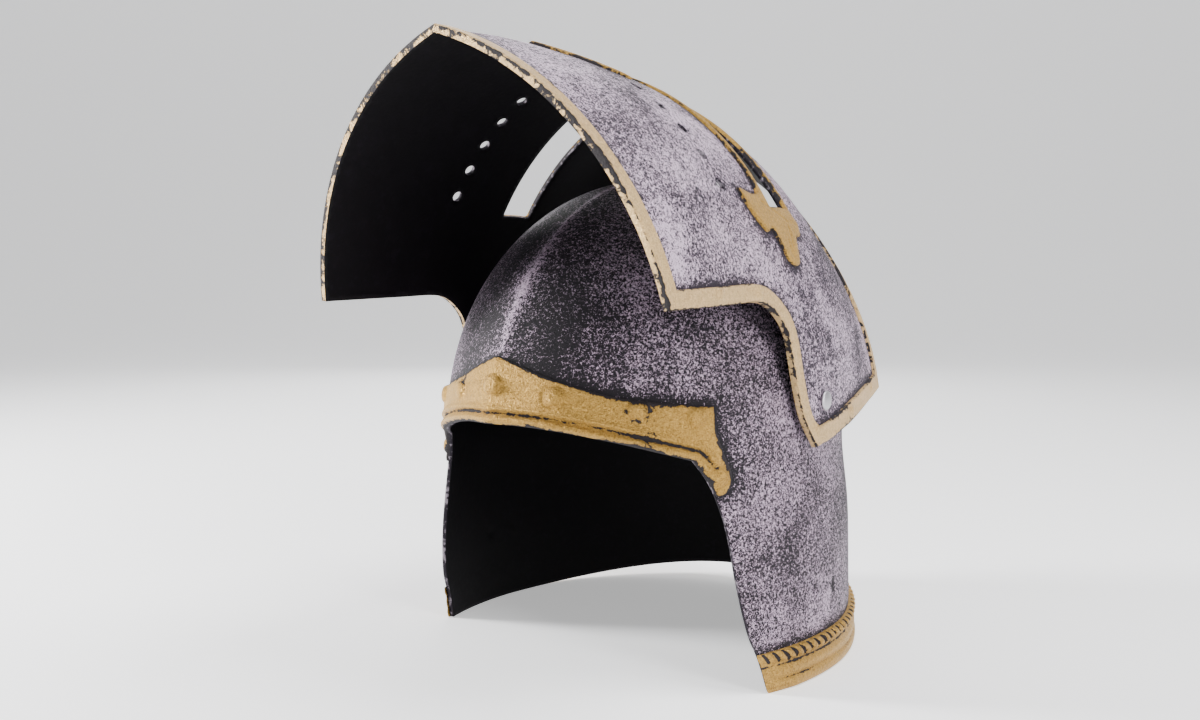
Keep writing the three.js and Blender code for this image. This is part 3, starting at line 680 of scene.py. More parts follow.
# %% Section of the rim band
RIM_BAND_THICKNESS = 3.0
ROPE_DIAMETER = 5.0
ROPE_PITCH = 5.6
ROPE_SLANT = 0.35
ROPE_DEPTH = 2.1
ROPE_ROWS = 18
LIP_GROOVE = 5.6
BAND_GROOVE = 12.4
RIM_SECTION = [  # height in millimetres, share of the thickness
    (0.04, 0), (0.12, 0.55), (1.2, 0.87), (2.8, 0.97), (4.3, 0.92), (5.1, 0.74), (LIP_GROOVE, 0.62),
    (6.3, 0.68), (7.3, 0.82), (8.6, 0.88), (9.9, 0.84), (10.9, 0.66), (11.7, 0.5), (BAND_GROOVE, 0.4),
    (13.2, 0.42)]
section = through([(height, RIM_BAND_THICKNESS * stand) for height, stand in RIM_SECTION], 0.45)
rope_radius = ROPE_DIAMETER / 2
rope_middle = RIM_BAND_HEIGHT - rope_radius
turns = np.linspace(-0.36, 0.5, ROPE_ROWS) * math.pi
rope_height = rope_middle + rope_radius * np.sin(turns)
rope_offset = RIM_BAND_THICKNESS * 0.3 + rope_radius * np.cos(turns)
section_height = np.concatenate([section[:, 0], rope_height, [RIM_BAND_HEIGHT + 0.1]])
section_offset = np.concatenate([section[:, 1], rope_offset, [-0.6]])
rope_swell = np.sin(np.linspace(0.12, 1, ROPE_ROWS) * math.pi) ** 0.5
on_rope = np.concatenate([np.zeros(len(section)), rope_swell, [0]])
print("rim band section", len(section_height), "points")

# %% Make the rim band
RIM_COLUMNS = 980
RIM_RADIUS = 116.0
RIM_RUN_OUT = 14.0
RIM_END_SHARE = 0.1
rim_share = np.linspace(0, 1, RIM_COLUMNS)
end_half_width = half_width_at(section_height / WALL_HEIGHT) + section_offset * RIM_END_SHARE + GAP
edge = np.arcsin(opening_half_width(section_height) / end_half_width)[:, None]
rim_angles = edge + (2 * math.pi - 2 * edge) * rim_share
rim_climbs = np.repeat(section_height[:, None] / WALL_HEIGHT, RIM_COLUMNS, axis=1)
strand = (rim_angles - math.pi) * RIM_RADIUS / ROPE_PITCH
slant = ROPE_SLANT * (section_height[:, None] - rope_middle) / rope_radius
rope_cut = ROPE_DEPTH * (1 - np.abs(np.sin(math.pi * (strand + slant)))) ** 1.1 * on_rope[:, None]
from_end = np.minimum(rim_share, 1 - rim_share) * (2 * math.pi - 2 * edge) * SKULL_HALF_WIDTH
stand = RIM_END_SHARE + (1 - RIM_END_SHARE) * np.clip(from_end / RIM_RUN_OUT, 0, 1)
rim_points = skull_point(rim_angles, rim_climbs, GAP + (section_offset[:, None] - rope_cut) * stand)
rim_points[..., 2] = skull_surface(rim_angles, 0)[..., 2] + section_height[:, None]
# The grooves and the gaps between the rope's strands are darker: worn gold and painted shade.
in_grooves = 0.7 * bell(section_height - BAND_GROOVE, 0.9) + 0.55 * bell(section_height - LIP_GROOVE, 0.6)
rim_wear_and_shade = np.clip(rope_cut / ROPE_DEPTH * 1.5 + in_grooves[:, None], 0, 1)
rows = len(section_height)
rim_faces = grid_faces(rows, RIM_COLUMNS)
rim_faces.append(tuple(r * RIM_COLUMNS for r in range(rows)))
rim_faces.append(tuple(r * RIM_COLUMNS + RIM_COLUMNS - 1 for r in range(rows))[::-1])
rim_band = make_piece("rim_band_skin", rim_points.reshape(-1, 3), rim_faces, "skull", "rim_band",
                      wear_and_painted_light=rim_wear_and_shade.reshape(-1))

# %% [markdown]
# ## The visor's surface
# The visor is a vault with a keel along its ridge, and its ears hang down to the rivets.
# Each cross section is an arc that leaves the ridge at a slope and ends upright, then runs
# straight down with a slight flare. A place on it is a distance along and a length down
# from the ridge, so a flat pattern bends onto it without stretching much.

# %% Sizes of the visor, in millimetres
VISOR_RIDGE_HEIGHT = 301.0
VISOR_HALF_WIDTH = 104.0
VISOR_REACH = 158.0
VISOR_TAIL = 110.0
VISOR_THICKNESS = 2.0
RIDGE_SLOPE = math.radians(17)
EAR_FLARE = 0.12
EAR_BLEND = 20.0
VISOR_RIDGE = [(-0.02, 0.994), (0.18, 1.003), (0.38, 0.995), (0.53, 0.977), (0.61, 0.959), (0.7, 0.935),
               (0.8, 0.887), (0.89, 0.84), (1.05, 0.76)]
VISOR_WIDTH = [(-0.02, 0.995), (0.18, 0.99), (0.38, 0.98), (0.53, 0.986), (0.61, 0.992), (0.7, 0.975),
               (0.8, 0.94), (0.89, 0.89), (1.05, 0.8)]
print("the visor is", VISOR_REACH + VISOR_TAIL, "mm long")


# %% A point of the visor from its length down the flank and its place along
def vault_section(along):
    share = (np.asarray(along, float) + VISOR_REACH) / (VISOR_REACH + VISOR_TAIL)
    ridge = VISOR_RIDGE_HEIGHT * read_table(VISOR_RIDGE, share)
    width = VISOR_HALF_WIDTH * read_table(VISOR_WIDTH, share)
    radius = width / (1 - math.sin(RIDGE_SLOPE))
    upright = radius * (math.pi / 2 - RIDGE_SLOPE)
    springing = ridge - radius * math.cos(RIDGE_SLOPE)
    return ridge, radius, upright, springing


def visor_surface(down, along):
    ridge, radius, upright, springing = vault_section(along)
    fall = np.maximum(0, down - upright)
    spread = np.where(fall < EAR_BLEND, fall**2 / (2 * EAR_BLEND), fall - EAR_BLEND / 2)
    turn = RIDGE_SLOPE + np.minimum(down, upright) / radius
    across = radius * (np.sin(turn) - math.sin(RIDGE_SLOPE)) + EAR_FLARE * spread
    height = ridge - radius * (math.cos(RIDGE_SLOPE) - np.cos(turn)) - fall
    return np.stack([across, np.asarray(along, float) * np.ones_like(across), height], axis=-1)


def visor_point(down, along, offset):
    step = 0.5
    side, down = np.where(down < 0, -1.0, 1.0), np.abs(down)
    forward = visor_surface(down, along - step) - visor_surface(down, along + step)
    outward = visor_surface(down + step, along) - visor_surface(np.maximum(0, down - step), along)
    normal = np.cross(forward, outward)
    normal /= np.linalg.norm(normal, axis=-1, keepdims=True)
    ridge = (down < 1e-6)[..., None]
    mitre = normal * (0, 1, 1) / math.cos(RIDGE_SLOPE) ** 2
    points = visor_surface(down, along) + np.where(ridge, mitre, normal) * np.asarray(offset)[..., None]
    return points * np.stack([side, np.ones_like(side), np.ones_like(side)], axis=-1)


def down_to(along, height):
    ridge, radius, upright, springing = vault_section(along)
    turn = np.arccos(np.clip(math.cos(RIDGE_SLOPE) - (ridge - height) / radius, -1, 1)) - RIDGE_SLOPE
    return np.where(height < springing, upright + springing - height, radius * turn)


print("visor at the chin", np.round(visor_surface(0.0, -VISOR_REACH), 1))

# %% [markdown]
# ## The visor's edge
# From the chin peak the edge runs down to a sharp chin corner, back along the side, down the
# front of the ear in one easy curve, along the ear's foot to its rear corner, and up over
# the brow to the ridge. Each run is smooth, and the corners between runs stay sharp.

# %% Runs of the visor's edge, as places of length down and place along
CHIN_LEAN = 25.0
CHIN_CORNER_HEIGHT = 181.5
SIDE_EDGE_HEIGHT = 183.0
EAR_FRONT = 60.0
EAR_BOTTOM_FRONT = 112.0
EAR_BOTTOM_BACK = 129.0
BROW_EDGE = 62.0
EAR_CURVE = [(0, 0), (0.16, 0.02), (0.3, 0.08), (0.42, 0.17), (0.5, 0.3), (0.58, 0.52), (0.66, 0.78),
             (0.84, 1)]
BROW_CURVE = [(0.82, 0.8), (0.55, 0.55), (0.3, 0.33), (0.1, 0.15)]
chin_fall = CHIN_CORNER_HEIGHT - VISOR_RIDGE_HEIGHT
side_length = VISOR_REACH - CHIN_LEAN - EAR_FRONT
side_climb = SIDE_EDGE_HEIGHT - CHIN_CORNER_HEIGHT
ear_fall = SIDE_EDGE_HEIGHT - EAR_BOTTOM_FRONT
foot_start = EAR_FRONT * 0.16
foot_climb = EAR_BOTTOM_BACK - EAR_BOTTOM_FRONT
brow_ridge = float(vault_section(BROW_EDGE)[0])
brow_fall = brow_ridge - EAR_BOTTOM_BACK


def edge_place(along, height):
    return float(down_to(along, height)), along


chin_run = [(0.0, -VISOR_REACH)]
chin_run += [edge_place(-VISOR_REACH + CHIN_LEAN * t, VISOR_RIDGE_HEIGHT + chin_fall * t)
             for t in np.arange(1, 10) / 9]
side_run = [edge_place(-VISOR_REACH + CHIN_LEAN + side_length * t, CHIN_CORNER_HEIGHT + side_climb * t)
            for t in (0.25, 0.5, 0.75)]
ear_run = [edge_place(-EAR_FRONT + EAR_FRONT * back, SIDE_EDGE_HEIGHT - ear_fall * fall)
           for back, fall in EAR_CURVE]
foot_run = [edge_place(-foot_start + (VISOR_TAIL + foot_start) * t, EAR_BOTTOM_FRONT + foot_climb * t)
            for t in (0.17, 0.34, 0.5, 0.67, 0.84, 1)]
brow_run = [edge_place(BROW_EDGE + (VISOR_TAIL - BROW_EDGE) * out, brow_ridge - brow_fall * fall)
            for out, fall in BROW_CURVE] + [(0.0, BROW_EDGE)]
runs = [chin_run, [chin_run[-1]] + side_run + ear_run, [ear_run[-1]] + foot_run, [foot_run[-1]] + brow_run]
print("runs of the visor's edge:", [len(run) for run in runs], "places")

# %% [markdown]
# ## The visor's edge, twice
# The border needs the same edge twice, once as it is and once moved inward, point for point,
# so that a strip can join the two. Moving each corner along its middle line keeps it square.


# %% The same edge moved inward, with square corners
def inset(points, width):
    points = np.asarray(points, float)
    moved = [points[0] + (0, width)]
    for a, b, c in zip(points, points[1:], points[2:]):
        before = (b - a) / np.linalg.norm(b - a)
        after = (c - b) / np.linalg.norm(c - b)
        along = (before + after) / np.linalg.norm(before + after)
        moved.append(b + np.array([-along[1], along[0]]) * width / max(0.5, float(along @ before)))
    moved.append(points[-1] - (0, width))
    return np.array(moved)


BORDER_WIDTH = 8.0
EDGE_STEP = 1.5
whole_edge = np.array([place for i, run in enumerate(runs) for place in (run if i == 0 else run[1:])])
inner_edge = inset(whole_edge, BORDER_WIDTH)
breaks = np.cumsum([0] + [len(run) - 1 for run in runs])
outer_line, inner_line = [], []
for start, end in zip(breaks, breaks[1:]):
    outer_run = through(whole_edge[start:end + 1], EDGE_STEP)
    inner_run = through(inner_edge[start:end + 1], EDGE_STEP)
    shares = np.linspace(0, 1, len(outer_run))[:-1]
    outer_line.append(places_at(outer_run, shares))
    inner_line.append(places_at(inner_run, shares))
outer_line = np.vstack(outer_line + [whole_edge[-1:]])
inner_line = np.vstack(inner_line + [inner_edge[-1:]])
print("visor edge", len(outer_line), "points, corners at", np.round(whole_edge[breaks], 1).tolist())

# %% [markdown]
# ## Slits and breath holes
# Two long eye slits and two rows of round holes are pierced right through, in both halves.
# They are loops in the flat pattern, so the sheet is simply never filled there.

# %% Lay out the visor's sheet
SLIT_HEIGHT = 20.5
SLIT_FRONT = 19.0
SLIT_INNER = 12.0
SLIT_OUTER = 111.0
SLIT_RAKE = 5.0
SLIT_BACK = SLIT_HEIGHT - SLIT_FRONT
BREATH_HOLE_RADIUS = 3.0
BREATH_HOLE_ROW = 59.0
BREATH_HOLE_FIRST = 39.5
BREATH_HOLE_PITCH = 16.5
BREATH_HOLE_COUNT = 5
BREATH_HOLE_STEPS = 20
slit_corners = np.array([(SLIT_INNER, -SLIT_FRONT), (SLIT_OUTER, -SLIT_FRONT),
                         (SLIT_OUTER - SLIT_RAKE, SLIT_BACK), (SLIT_INNER, SLIT_BACK)])


def mirrored(left):
    """A whole outline from its left half, which starts and ends on the middle line."""
    left = np.asarray(left, float)
    right = left[::-1] * (-1, 1)
    return np.vstack([left, right[np.abs(right[:, 0]) > 1e-6]])


def slit_loops(spacing):
    return [wound(rounded(slit_corners * (side, 1), 1.2, spacing), left=False) for side in (1, -1)]


turn = np.arange(BREATH_HOLE_STEPS) / BREATH_HOLE_STEPS * 2 * math.pi
ring = np.stack([np.cos(turn), np.sin(turn)], axis=1) * BREATH_HOLE_RADIUS
holes = [wound(ring + (side * (BREATH_HOLE_FIRST + BREATH_HOLE_PITCH * i), -BREATH_HOLE_ROW), left=False)
         for side in (1, -1) for i in range(BREATH_HOLE_COUNT)]
shell_loop = wound(mirrored(outer_line * 0.98 + inner_line * 0.02))
visor_flat, visor_triangles, _ = filled_sheet([shell_loop, *slit_loops(1.6), *holes], 2.3)
print("visor's sheet:", len(visor_triangles), "triangles and", len(holes), "breath holes")

# %% [markdown]
# ## The cross
# A cross with leafed tips lies over the keel, and its side arms frame the slits. It is cast
# relief with worn, rounded edges and small dents. Its height is a function of the distance
# from its outline, which gives soft shoulders everywhere without modelling any of them.

# %% Outline of the cross
CROSS_STEM_HALF_WIDTH = 7.0
CROSS_FRAME = 3.5
CROSS_FORWARD = 95.0
CROSS_BACKWARD = 50.0
LEAF_REACH = 36.0
LEAF_LENGTH = 30.0
CROSS_THICKNESS = 1.4
BACK_TIP_SCALE = 0.6
RIDGE_TIP = [(0, 0), (0.19, 0.19), (0.53, 0.25), (0.92, 0.56), (1.36, 0.75), (1.08, 0.39), (0.97, 0.19)]
ARM_TIP = [(-0.47, -0.2), (-0.67, -0.13), (-1, -0.2), (-0.94, 0.1), (-0.8, 0.37), (-0.64, 0.53),
           (-0.47, 0.4), (-0.39, 0.63), (-0.28, 0.9), (-0.14, 1), (0.03, 0.9), (0.11, 0.63),
           (0.19, 0.37), (0.39, 0.3), (0.5, 0.03), (0.39, -0.13)]
slit_middle = SLIT_BACK - SLIT_HEIGHT / 2
cross_left = [(LEAF_REACH * aside, -CROSS_FORWARD + LEAF_REACH * back) for back, aside in RIDGE_TIP]
cross_left += [(CROSS_STEM_HALF_WIDTH, -SLIT_FRONT - CROSS_FRAME),
               (SLIT_OUTER - LEAF_LENGTH / 2, -SLIT_FRONT - CROSS_FRAME)]
cross_left += [(SLIT_OUTER + LEAF_LENGTH * out, slit_middle + LEAF_REACH * back) for back, out in ARM_TIP]
cross_left += [(SLIT_OUTER - LEAF_LENGTH / 2, SLIT_BACK + CROSS_FRAME),
               (CROSS_STEM_HALF_WIDTH * BACK_TIP_SCALE, SLIT_BACK + CROSS_FRAME)]
cross_left += [(LEAF_REACH * aside * BACK_TIP_SCALE, CROSS_BACKWARD - LEAF_REACH * back * BACK_TIP_SCALE)
               for back, aside in RIDGE_TIP[::-1]]
cross_loop = wound(rounded(mirrored(cross_left), 2.2, 0.9))
cross_loops = [cross_loop, *slit_loops(0.9)]
print("cross outline", len(cross_loop), "points")

# %% Relief of the cross: veins as lines of places along and down, and one dimple
VEINS = [[(-7, SLIT_OUTER + 5), (-28, SLIT_OUTER - 1)], [(-8, SLIT_OUTER + 8), (-11, SLIT_OUTER + 20)],
         [(-4, SLIT_OUTER + 4), (6, SLIT_OUTER + 3)]]
VEIN_DEPTH = 0.4
DIMPLE = (SLIT_OUTER + 21, -14)
DIMPLE_RADIUS = 2.1
DIMPLE_DEPTH = 0.7


def both_sides(flat):
    return np.stack([np.abs(flat[:, 0]), flat[:, 1]], axis=1)


def cross_relief(flat):
    shoulder = 1 - np.exp(-nearest_of(cross_loops, flat) / 0.7)
    heights = GAP + CROSS_THICKNESS * (0.5 + 0.5 * shoulder)
    folded = both_sides(flat)
    for vein in VEINS:
        away = distance_to([(down, along) for along, down in vein], folded, closed=False)
        heights = heights - VEIN_DEPTH * bell(away, 0.8)
    away = np.linalg.norm((folded - DIMPLE) / (1.6, 1), axis=1)
    return heights - DIMPLE_DEPTH * bell(away, DIMPLE_RADIUS)


print("the cross stands", np.round(cross_relief(np.array([(0.0, -40.0)])), 2)[0], "mm off the visor")


# %% Make the cross
flat, heights, faces = raised(cross_loops, TRIM_SPACING, cross_relief)
cross_wear = 0.5 * np.exp(-nearest_of(cross_loops, flat) / 0.9)
visor_cross = make_piece("visor_cross_skin", visor_point(flat[:, 0], flat[:, 1], heights), faces,
                         "visor", "visor_cross", wear_and_painted_light=cross_wear)

# %% [markdown]
# ## The visor's shell
# The flat sheet is bent onto the vault and thickened. Beside the border and the cross the
# silver is darker, from thinner paint and painted shade, and a ring of painted shade lies
# round a dent in each ear.

# %% Make the visor
EAR_DENT_BACK = 21.5
EAR_DENT_HEIGHT = 160.0
EAR_DENT_RADIUS = 4.5
# Darker margin beside the border and the cross: thinner paint and painted shade.
beside_trim = nearest_of([mirrored(inner_line), cross_loop], visor_flat)
dent_place = (float(down_to(EAR_DENT_BACK, EAR_DENT_HEIGHT)), EAR_DENT_BACK)
from_dent = np.linalg.norm((np.abs(visor_flat) - dent_place) / (1, 2.2), axis=1)
# A ring of painted shade round the dent in each ear.
dent_painted_shade = 0.4 * np.exp(-np.abs(from_dent - EAR_DENT_RADIUS) / 0.9) * (visor_flat[:, 1] > 0)
visor = make_piece("visor_skin", visor_point(visor_flat[:, 0], visor_flat[:, 1], 0.0), visor_triangles,
                   "visor", "visor", wear_and_painted_light=np.maximum(np.exp(-beside_trim / 1.8), dent_painted_shade))
thicken(visor, VISOR_THICKNESS)

# %% [markdown]
# ## The visor's border
# A flat gold border runs round the whole visor, with a few small studs along it. It is a
# narrow strip, so it is made as a grid: one row of points along the edge for each step of
# its section, from the wall's inner face over the edge and across to the field.

# %% Make the border
BORDER_THICKNESS = 1.2
BORDER_STUD_RADIUS = 2.6
BORDER_STUD_HEIGHT = 1.1
BORDER_STUDS = [(-92.0, 187.3), (-57.0, 186.5), (40.0, 124.5), (-8.0, 121.0), (85.0, 132.0)]  # along, height
BORDER_SECTION = [  # share of the width, and height as a share of the thickness or in mm below the surface
    (0.0, -VISOR_THICKNESS - 0.02), (0.0, -0.8), (0.0, 0.55), (0.035, 0.85), (0.09, 1.04), (0.16, 1.12),
    (0.3, 1.08), (0.5, 1.02), (0.7, 1.04), (0.85, 1.1), (0.93, 1.02), (0.97, 0.8), (1.0, 0.45), (1.01, -0.5)]
outer_all, inner_all = mirrored(outer_line), mirrored(inner_line)
border_rows, border_hollow = [], []
for share, level in BORDER_SECTION:
    place = outer_all * (1 - share) + inner_all * share
    rise = np.full(len(place), level if level < 0 else GAP + BORDER_THICKNESS * level)
    if level > 0.9:
        for along, height in BORDER_STUDS:
            away = np.linalg.norm(both_sides(place) - (float(down_to(along, height)), along), axis=1)
            rise += dome_bump(away, BORDER_STUD_RADIUS, BORDER_STUD_HEIGHT)
    border_rows.append(visor_point(place[:, 0], place[:, 1], rise))
    darkening = 0.6 if level < 0.5 else math.exp(-min(share, 1 - share) * BORDER_WIDTH / 0.8)
    border_hollow.append(np.full(len(place), darkening))
border_faces = [face[::-1] for face in grid_faces(len(border_rows), len(outer_all), closed=True)]
visor_border = make_piece("visor_border_skin", np.concatenate(border_rows), border_faces, "visor",
                          "visor_border", wear_and_painted_light=np.concatenate(border_hollow))

# %% [markdown]
# ## The rivets
# The visor swings on two plain steel rivets. A rivet is round, so its section is spun about
# its own axis, with enough steps that the low dome shows no flats.

# %% Make the rivets
RIVET_SHAFT_RADIUS = 2.5
RIVET_HEAD_RADIUS = 4.8
RIVET_HEAD_HEIGHT = 2.0
RIVET_HEAD_EDGE = 0.45
RIVET_TAIL = 1.5
RIVET_SLACK = 0.5
RIVET_STEPS = 48
ear = float(visor_point(down_to(PIVOT_BACK, PIVOT_HEIGHT), np.array(PIVOT_BACK), 0.0)[0]) + RIVET_SLACK
wall = SKULL_HALF_WIDTH * math.sqrt(1 - ((PIVOT_HEIGHT - WALL_HEIGHT) / DOME_HEIGHT) ** 2)
inside = wall - SHELL_THICKNESS - RIVET_TAIL
dome = [(RIVET_HEAD_RADIUS * math.cos(t),
         ear + RIVET_HEAD_EDGE + (RIVET_HEAD_HEIGHT - RIVET_HEAD_EDGE) * math.sin(t))
        for t in np.linspace(0, math.pi / 2, 12)[:-1]]
rivet_section = [(0, inside), (RIVET_SHAFT_RADIUS - 0.3, inside), (RIVET_SHAFT_RADIUS, inside + 0.3),
                 (RIVET_SHAFT_RADIUS, ear), (RIVET_HEAD_RADIUS - 0.2, ear), (RIVET_HEAD_RADIUS, ear + 0.2),
                 *dome, (0, ear + RIVET_HEAD_HEIGHT)]
rivet_turns = np.arange(RIVET_STEPS) / RIVET_STEPS * 2 * math.pi
rivets = []
for name, side, node in (("rivet_left", 1, "pivot_rivet_left"), ("rivet_right", -1, "pivot_rivet_right")):
    points = [(side * along, PIVOT_BACK + radius * math.cos(t), PIVOT_HEIGHT + radius * math.sin(t))
              for radius, along in rivet_section for t in rivet_turns]
    faces = [face[::-side] for face in grid_faces(len(rivet_section), RIVET_STEPS, closed=True)]
    rivets.append(make_piece(name, points, faces, "skull", node, weld=0.005))

# %% [markdown]
# ## Shared effects of the paint
# Both paints lie on the same pebbled plastic, so the pebble is one node group and the dry
# brush is another. The brush touches the tops of the grain and misses its hollows, which a
# threshold on the grain's height imitates. Cloudy patches move the threshold up and down.


# %% Helpers for node trees
def feed(tree, socket, value):
    """Link another node's output to a socket, or set the socket's own value."""
    if isinstance(value, bpy.types.NodeSocket):
        tree.links.new(value, socket)
    else:
        socket.default_value = value


def add(tree, kind, values=None, **settings):
    node = tree.nodes.new(kind)
    for key, value in settings.items():
        setattr(node, key, value)
    for key, value in (values or {}).items():
        feed(tree, node.inputs[key], value)
    return node


def math_node(tree, operation, *values):
    return add(tree, "ShaderNodeMath", dict(enumerate(values)), operation=operation).outputs[0]


def noise(tree, place, scale, detail, **more):
    values = {"Vector": place, "Scale": scale, "Detail": detail, **more}
    return add(tree, "ShaderNodeTexNoise", values).outputs["Fac"]


def smooth_step(tree, value, low, high):
    values = {"Value": value, "From Min": low, "From Max": high}
    return add(tree, "ShaderNodeMapRange", values, interpolation_type="SMOOTHSTEP").outputs["Result"]


def node_group(name, inputs, output):
    """A shared effect, its inputs as sockets to read, and the socket for its result."""
    group = bpy.data.node_groups.new(name, "ShaderNodeTree")
    for key, value in inputs.items():
        kind = "NodeSocketVector" if key == "Place" else "NodeSocketFloat"
        group.interface.new_socket(name=key, in_out="INPUT", socket_type=kind).default_value = value
    group.interface.new_socket(name=output, in_out="OUTPUT", socket_type="NodeSocketFloat")
    return group, group.nodes.new("NodeGroupInput").outputs, group.nodes.new("NodeGroupOutput").inputs[output]


# %% [markdown]
# The grain's group adds fine twisted pebbles to coarser humps, because one noise alone looks
# too even for moulded plastic.

# %% The pebbled grain of the moulding
grain_group, given, result = node_group("pebbled_grain", {
    "Place": (0, 0, 0), "Grains per metre": 700.0, "Worm": 1.2}, "Height")
pebbles = noise(grain_group, given["Place"], given["Grains per metre"], 2.0,
                Roughness=0.45, Distortion=given["Worm"])
coarse = math_node(grain_group, "MULTIPLY", given["Grains per metre"], 0.45)
humps = noise(grain_group, given["Place"], coarse, 1.0, Distortion=0.4)
humps = math_node(grain_group, "MULTIPLY", humps, 0.28)
feed(grain_group, result, math_node(grain_group, "MULTIPLY_ADD", pebbles, 0.72, humps))
print(grain_group.name, len(grain_group.nodes), "nodes")

# %% [markdown]
# The brush's group compares the grain with a level, which the cover, the cloudy patches and
# the misses and painted light of each piece set, and gives 1 where paint lies and 0 where the plastic shows.

# %% The dry brush that touches the tops of the grain
brush_group, given, result = node_group("dry_brush", {
    "Place": (0, 0, 0), "Grain": 0.5, "Cover": 0.5, "Edge": 0.05, "Patches per metre": 18.0,
    "Patchiness": 0.12, "Missed and painted light": 0.0}, "Mask")
clouds = noise(brush_group, given["Place"], given["Patches per metre"], 4.0, Roughness=0.6, Distortion=0.3)
swing = math_node(brush_group, "SUBTRACT", clouds, 0.5)
swing = math_node(brush_group, "MULTIPLY", swing, given["Patchiness"])
level = math_node(brush_group, "SUBTRACT", math_node(brush_group, "SUBTRACT", 1.0, given["Cover"]), swing)
level = math_node(brush_group, "ADD", level, math_node(brush_group, "MULTIPLY", given["Missed and painted light"], 0.2))
low, high = (math_node(brush_group, way, level, given["Edge"]) for way in ("SUBTRACT", "ADD"))
feed(brush_group, result, smooth_step(brush_group, given["Grain"], low, high))
print(brush_group.name, len(brush_group.nodes), "nodes")

# %% [markdown]
# ## A material from the shared effects
# Each paint starts from the same few steps: the place on the piece, the grain there, a mix
# of two colours, and a bump from the grain. The grain drives the colour, the roughness and
# the bump together, which is what ties paint to plastic.


# %% Helpers that build a material
def new_paint(name, grains, worm):
    """A material with its node tree, the place on the piece and the grain there."""
    material = bpy.data.materials.new(name)
    material.use_nodes = True
    tree = material.node_tree
    place = add(tree, "ShaderNodeTexCoord").outputs["Object"]
    values = {"Place": place, "Grains per metre": grains, "Worm": worm}
    grain = add(tree, "ShaderNodeGroup", values, node_tree=grain_group).outputs["Height"]
    return material, tree, place, grain


def brushed(tree, values):
    return add(tree, "ShaderNodeGroup", values, node_tree=brush_group).outputs["Mask"]


def mixed_colour(tree, mask, dark, light):
    return add(tree, "ShaderNodeMix", {0: mask, 6: dark, 7: light}, data_type="RGBA").outputs[2]


def span(tree, value, low, high):
    values = {"Value": value, "To Min": low, "To Max": high}
    return add(tree, "ShaderNodeMapRange", values).outputs["Result"]


# Reads each piece's wear, brush misses, painted shade and painted highlights.
def wear_and_painted_light_of(tree):
    return add(tree, "ShaderNodeAttribute", attribute_name="wear_and_painted_light").outputs["Fac"]


def finish_paint(tree, looks, height, strength, distance):
    """Feed the shader, and press the height into its surface."""
    bump = add(tree, "ShaderNodeBump", {"Height": height, "Strength": strength, "Distance": distance})
    for key, value in {**looks, "Normal": bump.outputs["Normal"]}.items():
        feed(tree, tree.nodes["Principled BSDF"].inputs[key], value)


# %% [markdown]
# ## Dry-brushed silver on black
# The plastic is a violet black. The silver over it is a little lavender and barely metallic,
# coarse on the skull piece and finer on the visor.


# %% Silver over black for the skull piece and for the visor
def silver_on_black(name, grains, cover, patchiness, black, silver):
    material, tree, place, grain = new_paint(name, grains, 1.3)
    mask = brushed(tree, {"Place": place, "Grain": grain, "Cover": cover, "Edge": 0.03,
                          "Patches per metre": 22.0, "Patchiness": patchiness, "Missed and painted light": wear_and_painted_light_of(tree)})
    dusty = mixed_colour(tree, noise(tree, place, 9.0, 3.0), (*(c * 0.78 for c in silver), 1), (*silver, 1))
    finish_paint(tree, {
        "Base Color": mixed_colour(tree, mask, (*black, 1), dusty), "Roughness": span(tree, mask, 0.62, 0.42),
        "Metallic": math_node(tree, "MULTIPLY", mask, 0.5), "Specular IOR Level": 0.25}, grain, 0.9, 0.0009)
    return material


skull_paint = silver_on_black("skull_paint", grains=1450.0, cover=0.46, patchiness=0.26,
                              black=(0.005, 0.003, 0.006), silver=(0.58, 0.44, 0.57))
visor_paint = silver_on_black("visor_paint", grains=1200.0, cover=0.475, patchiness=0.42,
                              black=(0.014, 0.009, 0.017), silver=(0.72, 0.56, 0.71))
print("silver paints", skull_paint.name, visor_paint.name)

# %% [markdown]
# ## Worn gold
# The gold is laid on thick over a sandy skin, and it has chipped off along the edges, where
# the black shows. In the grooves, between the rope's strands and round the studs, the
# darkening is partly wear and partly painted shade. Each gold piece carries the nearness of
# its edges and hollows, and noise breaks that up, so that the wear has ragged borders.


# %% Gold paint, its chips and painted shade in its grooves
def worn_gold(name, light, deep, darkening_weight):
    material, tree, place, grain = new_paint(name, 1400.0, 0.8)
    flakes = noise(tree, place, 260.0, 5.0, Roughness=0.65, Distortion=0.6)
    regions = noise(tree, place, 34.0, 2.0)
    darkening = math_node(tree, "MULTIPLY", wear_and_painted_light_of(tree), darkening_weight)
    for cloud, weight in ((regions, 0.9), (flakes, 1.1)):
        darkening = math_node(tree, "ADD", darkening, math_node(tree, "MULTIPLY", cloud, weight))
    # Chips, and on the trim also painted shade in the grooves.
    chips_and_shade = smooth_step(tree, darkening, 1.30, 1.37)
    gold = mixed_colour(tree, span(tree, grain, -0.5, 1.6), deep, light)
    height = math_node(tree, "SUBTRACT", grain, math_node(tree, "MULTIPLY", chips_and_shade, 0.35))
    finish_paint(tree, {
        "Base Color": mixed_colour(tree, chips_and_shade, gold, (0.016, 0.012, 0.014, 1)),
        "Roughness": span(tree, chips_and_shade, 0.38, 0.68), "Metallic": span(tree, chips_and_shade, 0.7, 0.0),
        "Specular IOR Level": 0.3}, height, 0.9, 0.0016)
    return material


trim_gold = worn_gold("trim_gold", light=(0.60, 0.36, 0.085, 1), deep=(0.15, 0.075, 0.012, 1), darkening_weight=0.62)
border_gold = worn_gold("border_gold", light=(0.78, 0.55, 0.28, 1), deep=(0.34, 0.20, 0.07, 1), darkening_weight=0.5)
print("gold paints", trim_gold.name, border_gold.name)

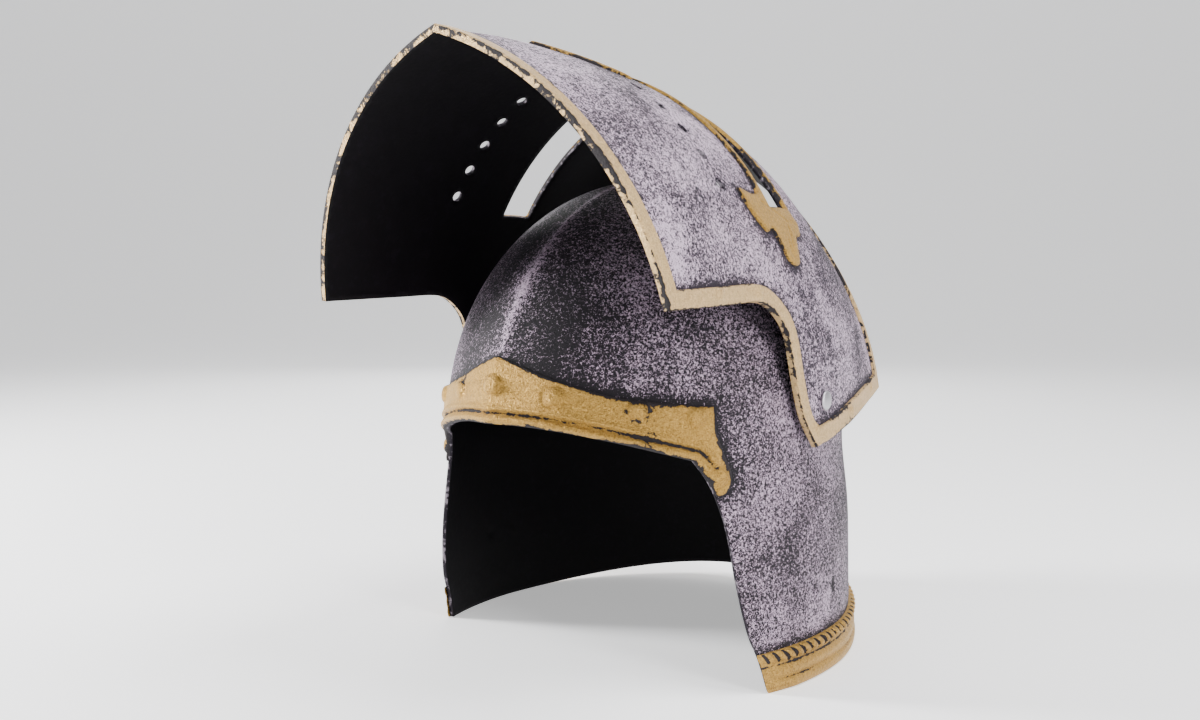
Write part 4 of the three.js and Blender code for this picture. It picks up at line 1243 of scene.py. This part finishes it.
# %% [markdown]
# ## The bare inside and the cut edge
# Inside, nobody paints: the plastic stays black with a faint moulding texture. The cut edge
# picks up a little overspray, so it is the same recipe with a paler dust.


# %% Bare black plastic and the cut edge
def bare_black(name, colour, dust, cover):
    material, tree, place, grain = new_paint(name, 420.0, 0.5)
    mask = brushed(tree, {"Place": place, "Grain": grain, "Cover": cover, "Edge": 0.08,
                          "Patches per metre": 60.0, "Patchiness": 0.3})
    finish_paint(tree, {
        "Base Color": mixed_colour(tree, mask, colour, dust), "Roughness": span(tree, grain, 0.5, 0.75),
        "Specular IOR Level": 0.12}, grain, 0.18, 0.0005)
    return material


inside_black = bare_black("inside_black", (0.0016, 0.0012, 0.002, 1), (0.004, 0.003, 0.005, 1), 0.4)
cut_edge = bare_black("cut_edge", (0.014, 0.011, 0.016, 1), (0.22, 0.19, 0.22, 1), 0.42)
print("bare plastic", inside_black.name, cut_edge.name)

# %% [markdown]
# ## The rivets' steel
# The rivets are plain turned steel with fine brushed lines. Noise stretched one way gives
# such lines, where a wave texture would make them too regular.

# %% Brushed steel of the rivets
steel, tree, place, grain = new_paint("rivet_steel", 900.0, 0.3)
stretched = add(tree, "ShaderNodeMapping", {"Vector": place, "Scale": (1.0, 1.0, 14.0)}).outputs["Vector"]
lines = noise(tree, stretched, 260.0, 4.0)
finish_paint(tree, {
    "Base Color": mixed_colour(tree, lines, (0.30, 0.29, 0.31, 1), (0.62, 0.60, 0.63, 1)),
    "Roughness": span(tree, lines, 0.3, 0.5), "Metallic": 0.85}, grain, 0.12, 0.0003)
print(steel.name, len(tree.nodes), "nodes")

# %% [markdown]
# ## Paint the pieces
# A thickened shell needs three materials in this order: the paint outside, the bare plastic
# inside and the cut edge between them. Every other piece has one.

# %% Give each piece its materials
for piece, paint in ((skull, skull_paint), (visor, visor_paint)):
    for material in (paint, inside_black, cut_edge):
        piece.data.materials.append(material)
for piece, paint in ((brow_band, trim_gold), (rim_band, trim_gold), (visor_cross, trim_gold),
                     (visor_border, border_gold), (rivets[0], steel), (rivets[1], steel)):
    piece.data.materials.append(paint)
    print(piece.name, "is painted with", paint.name)
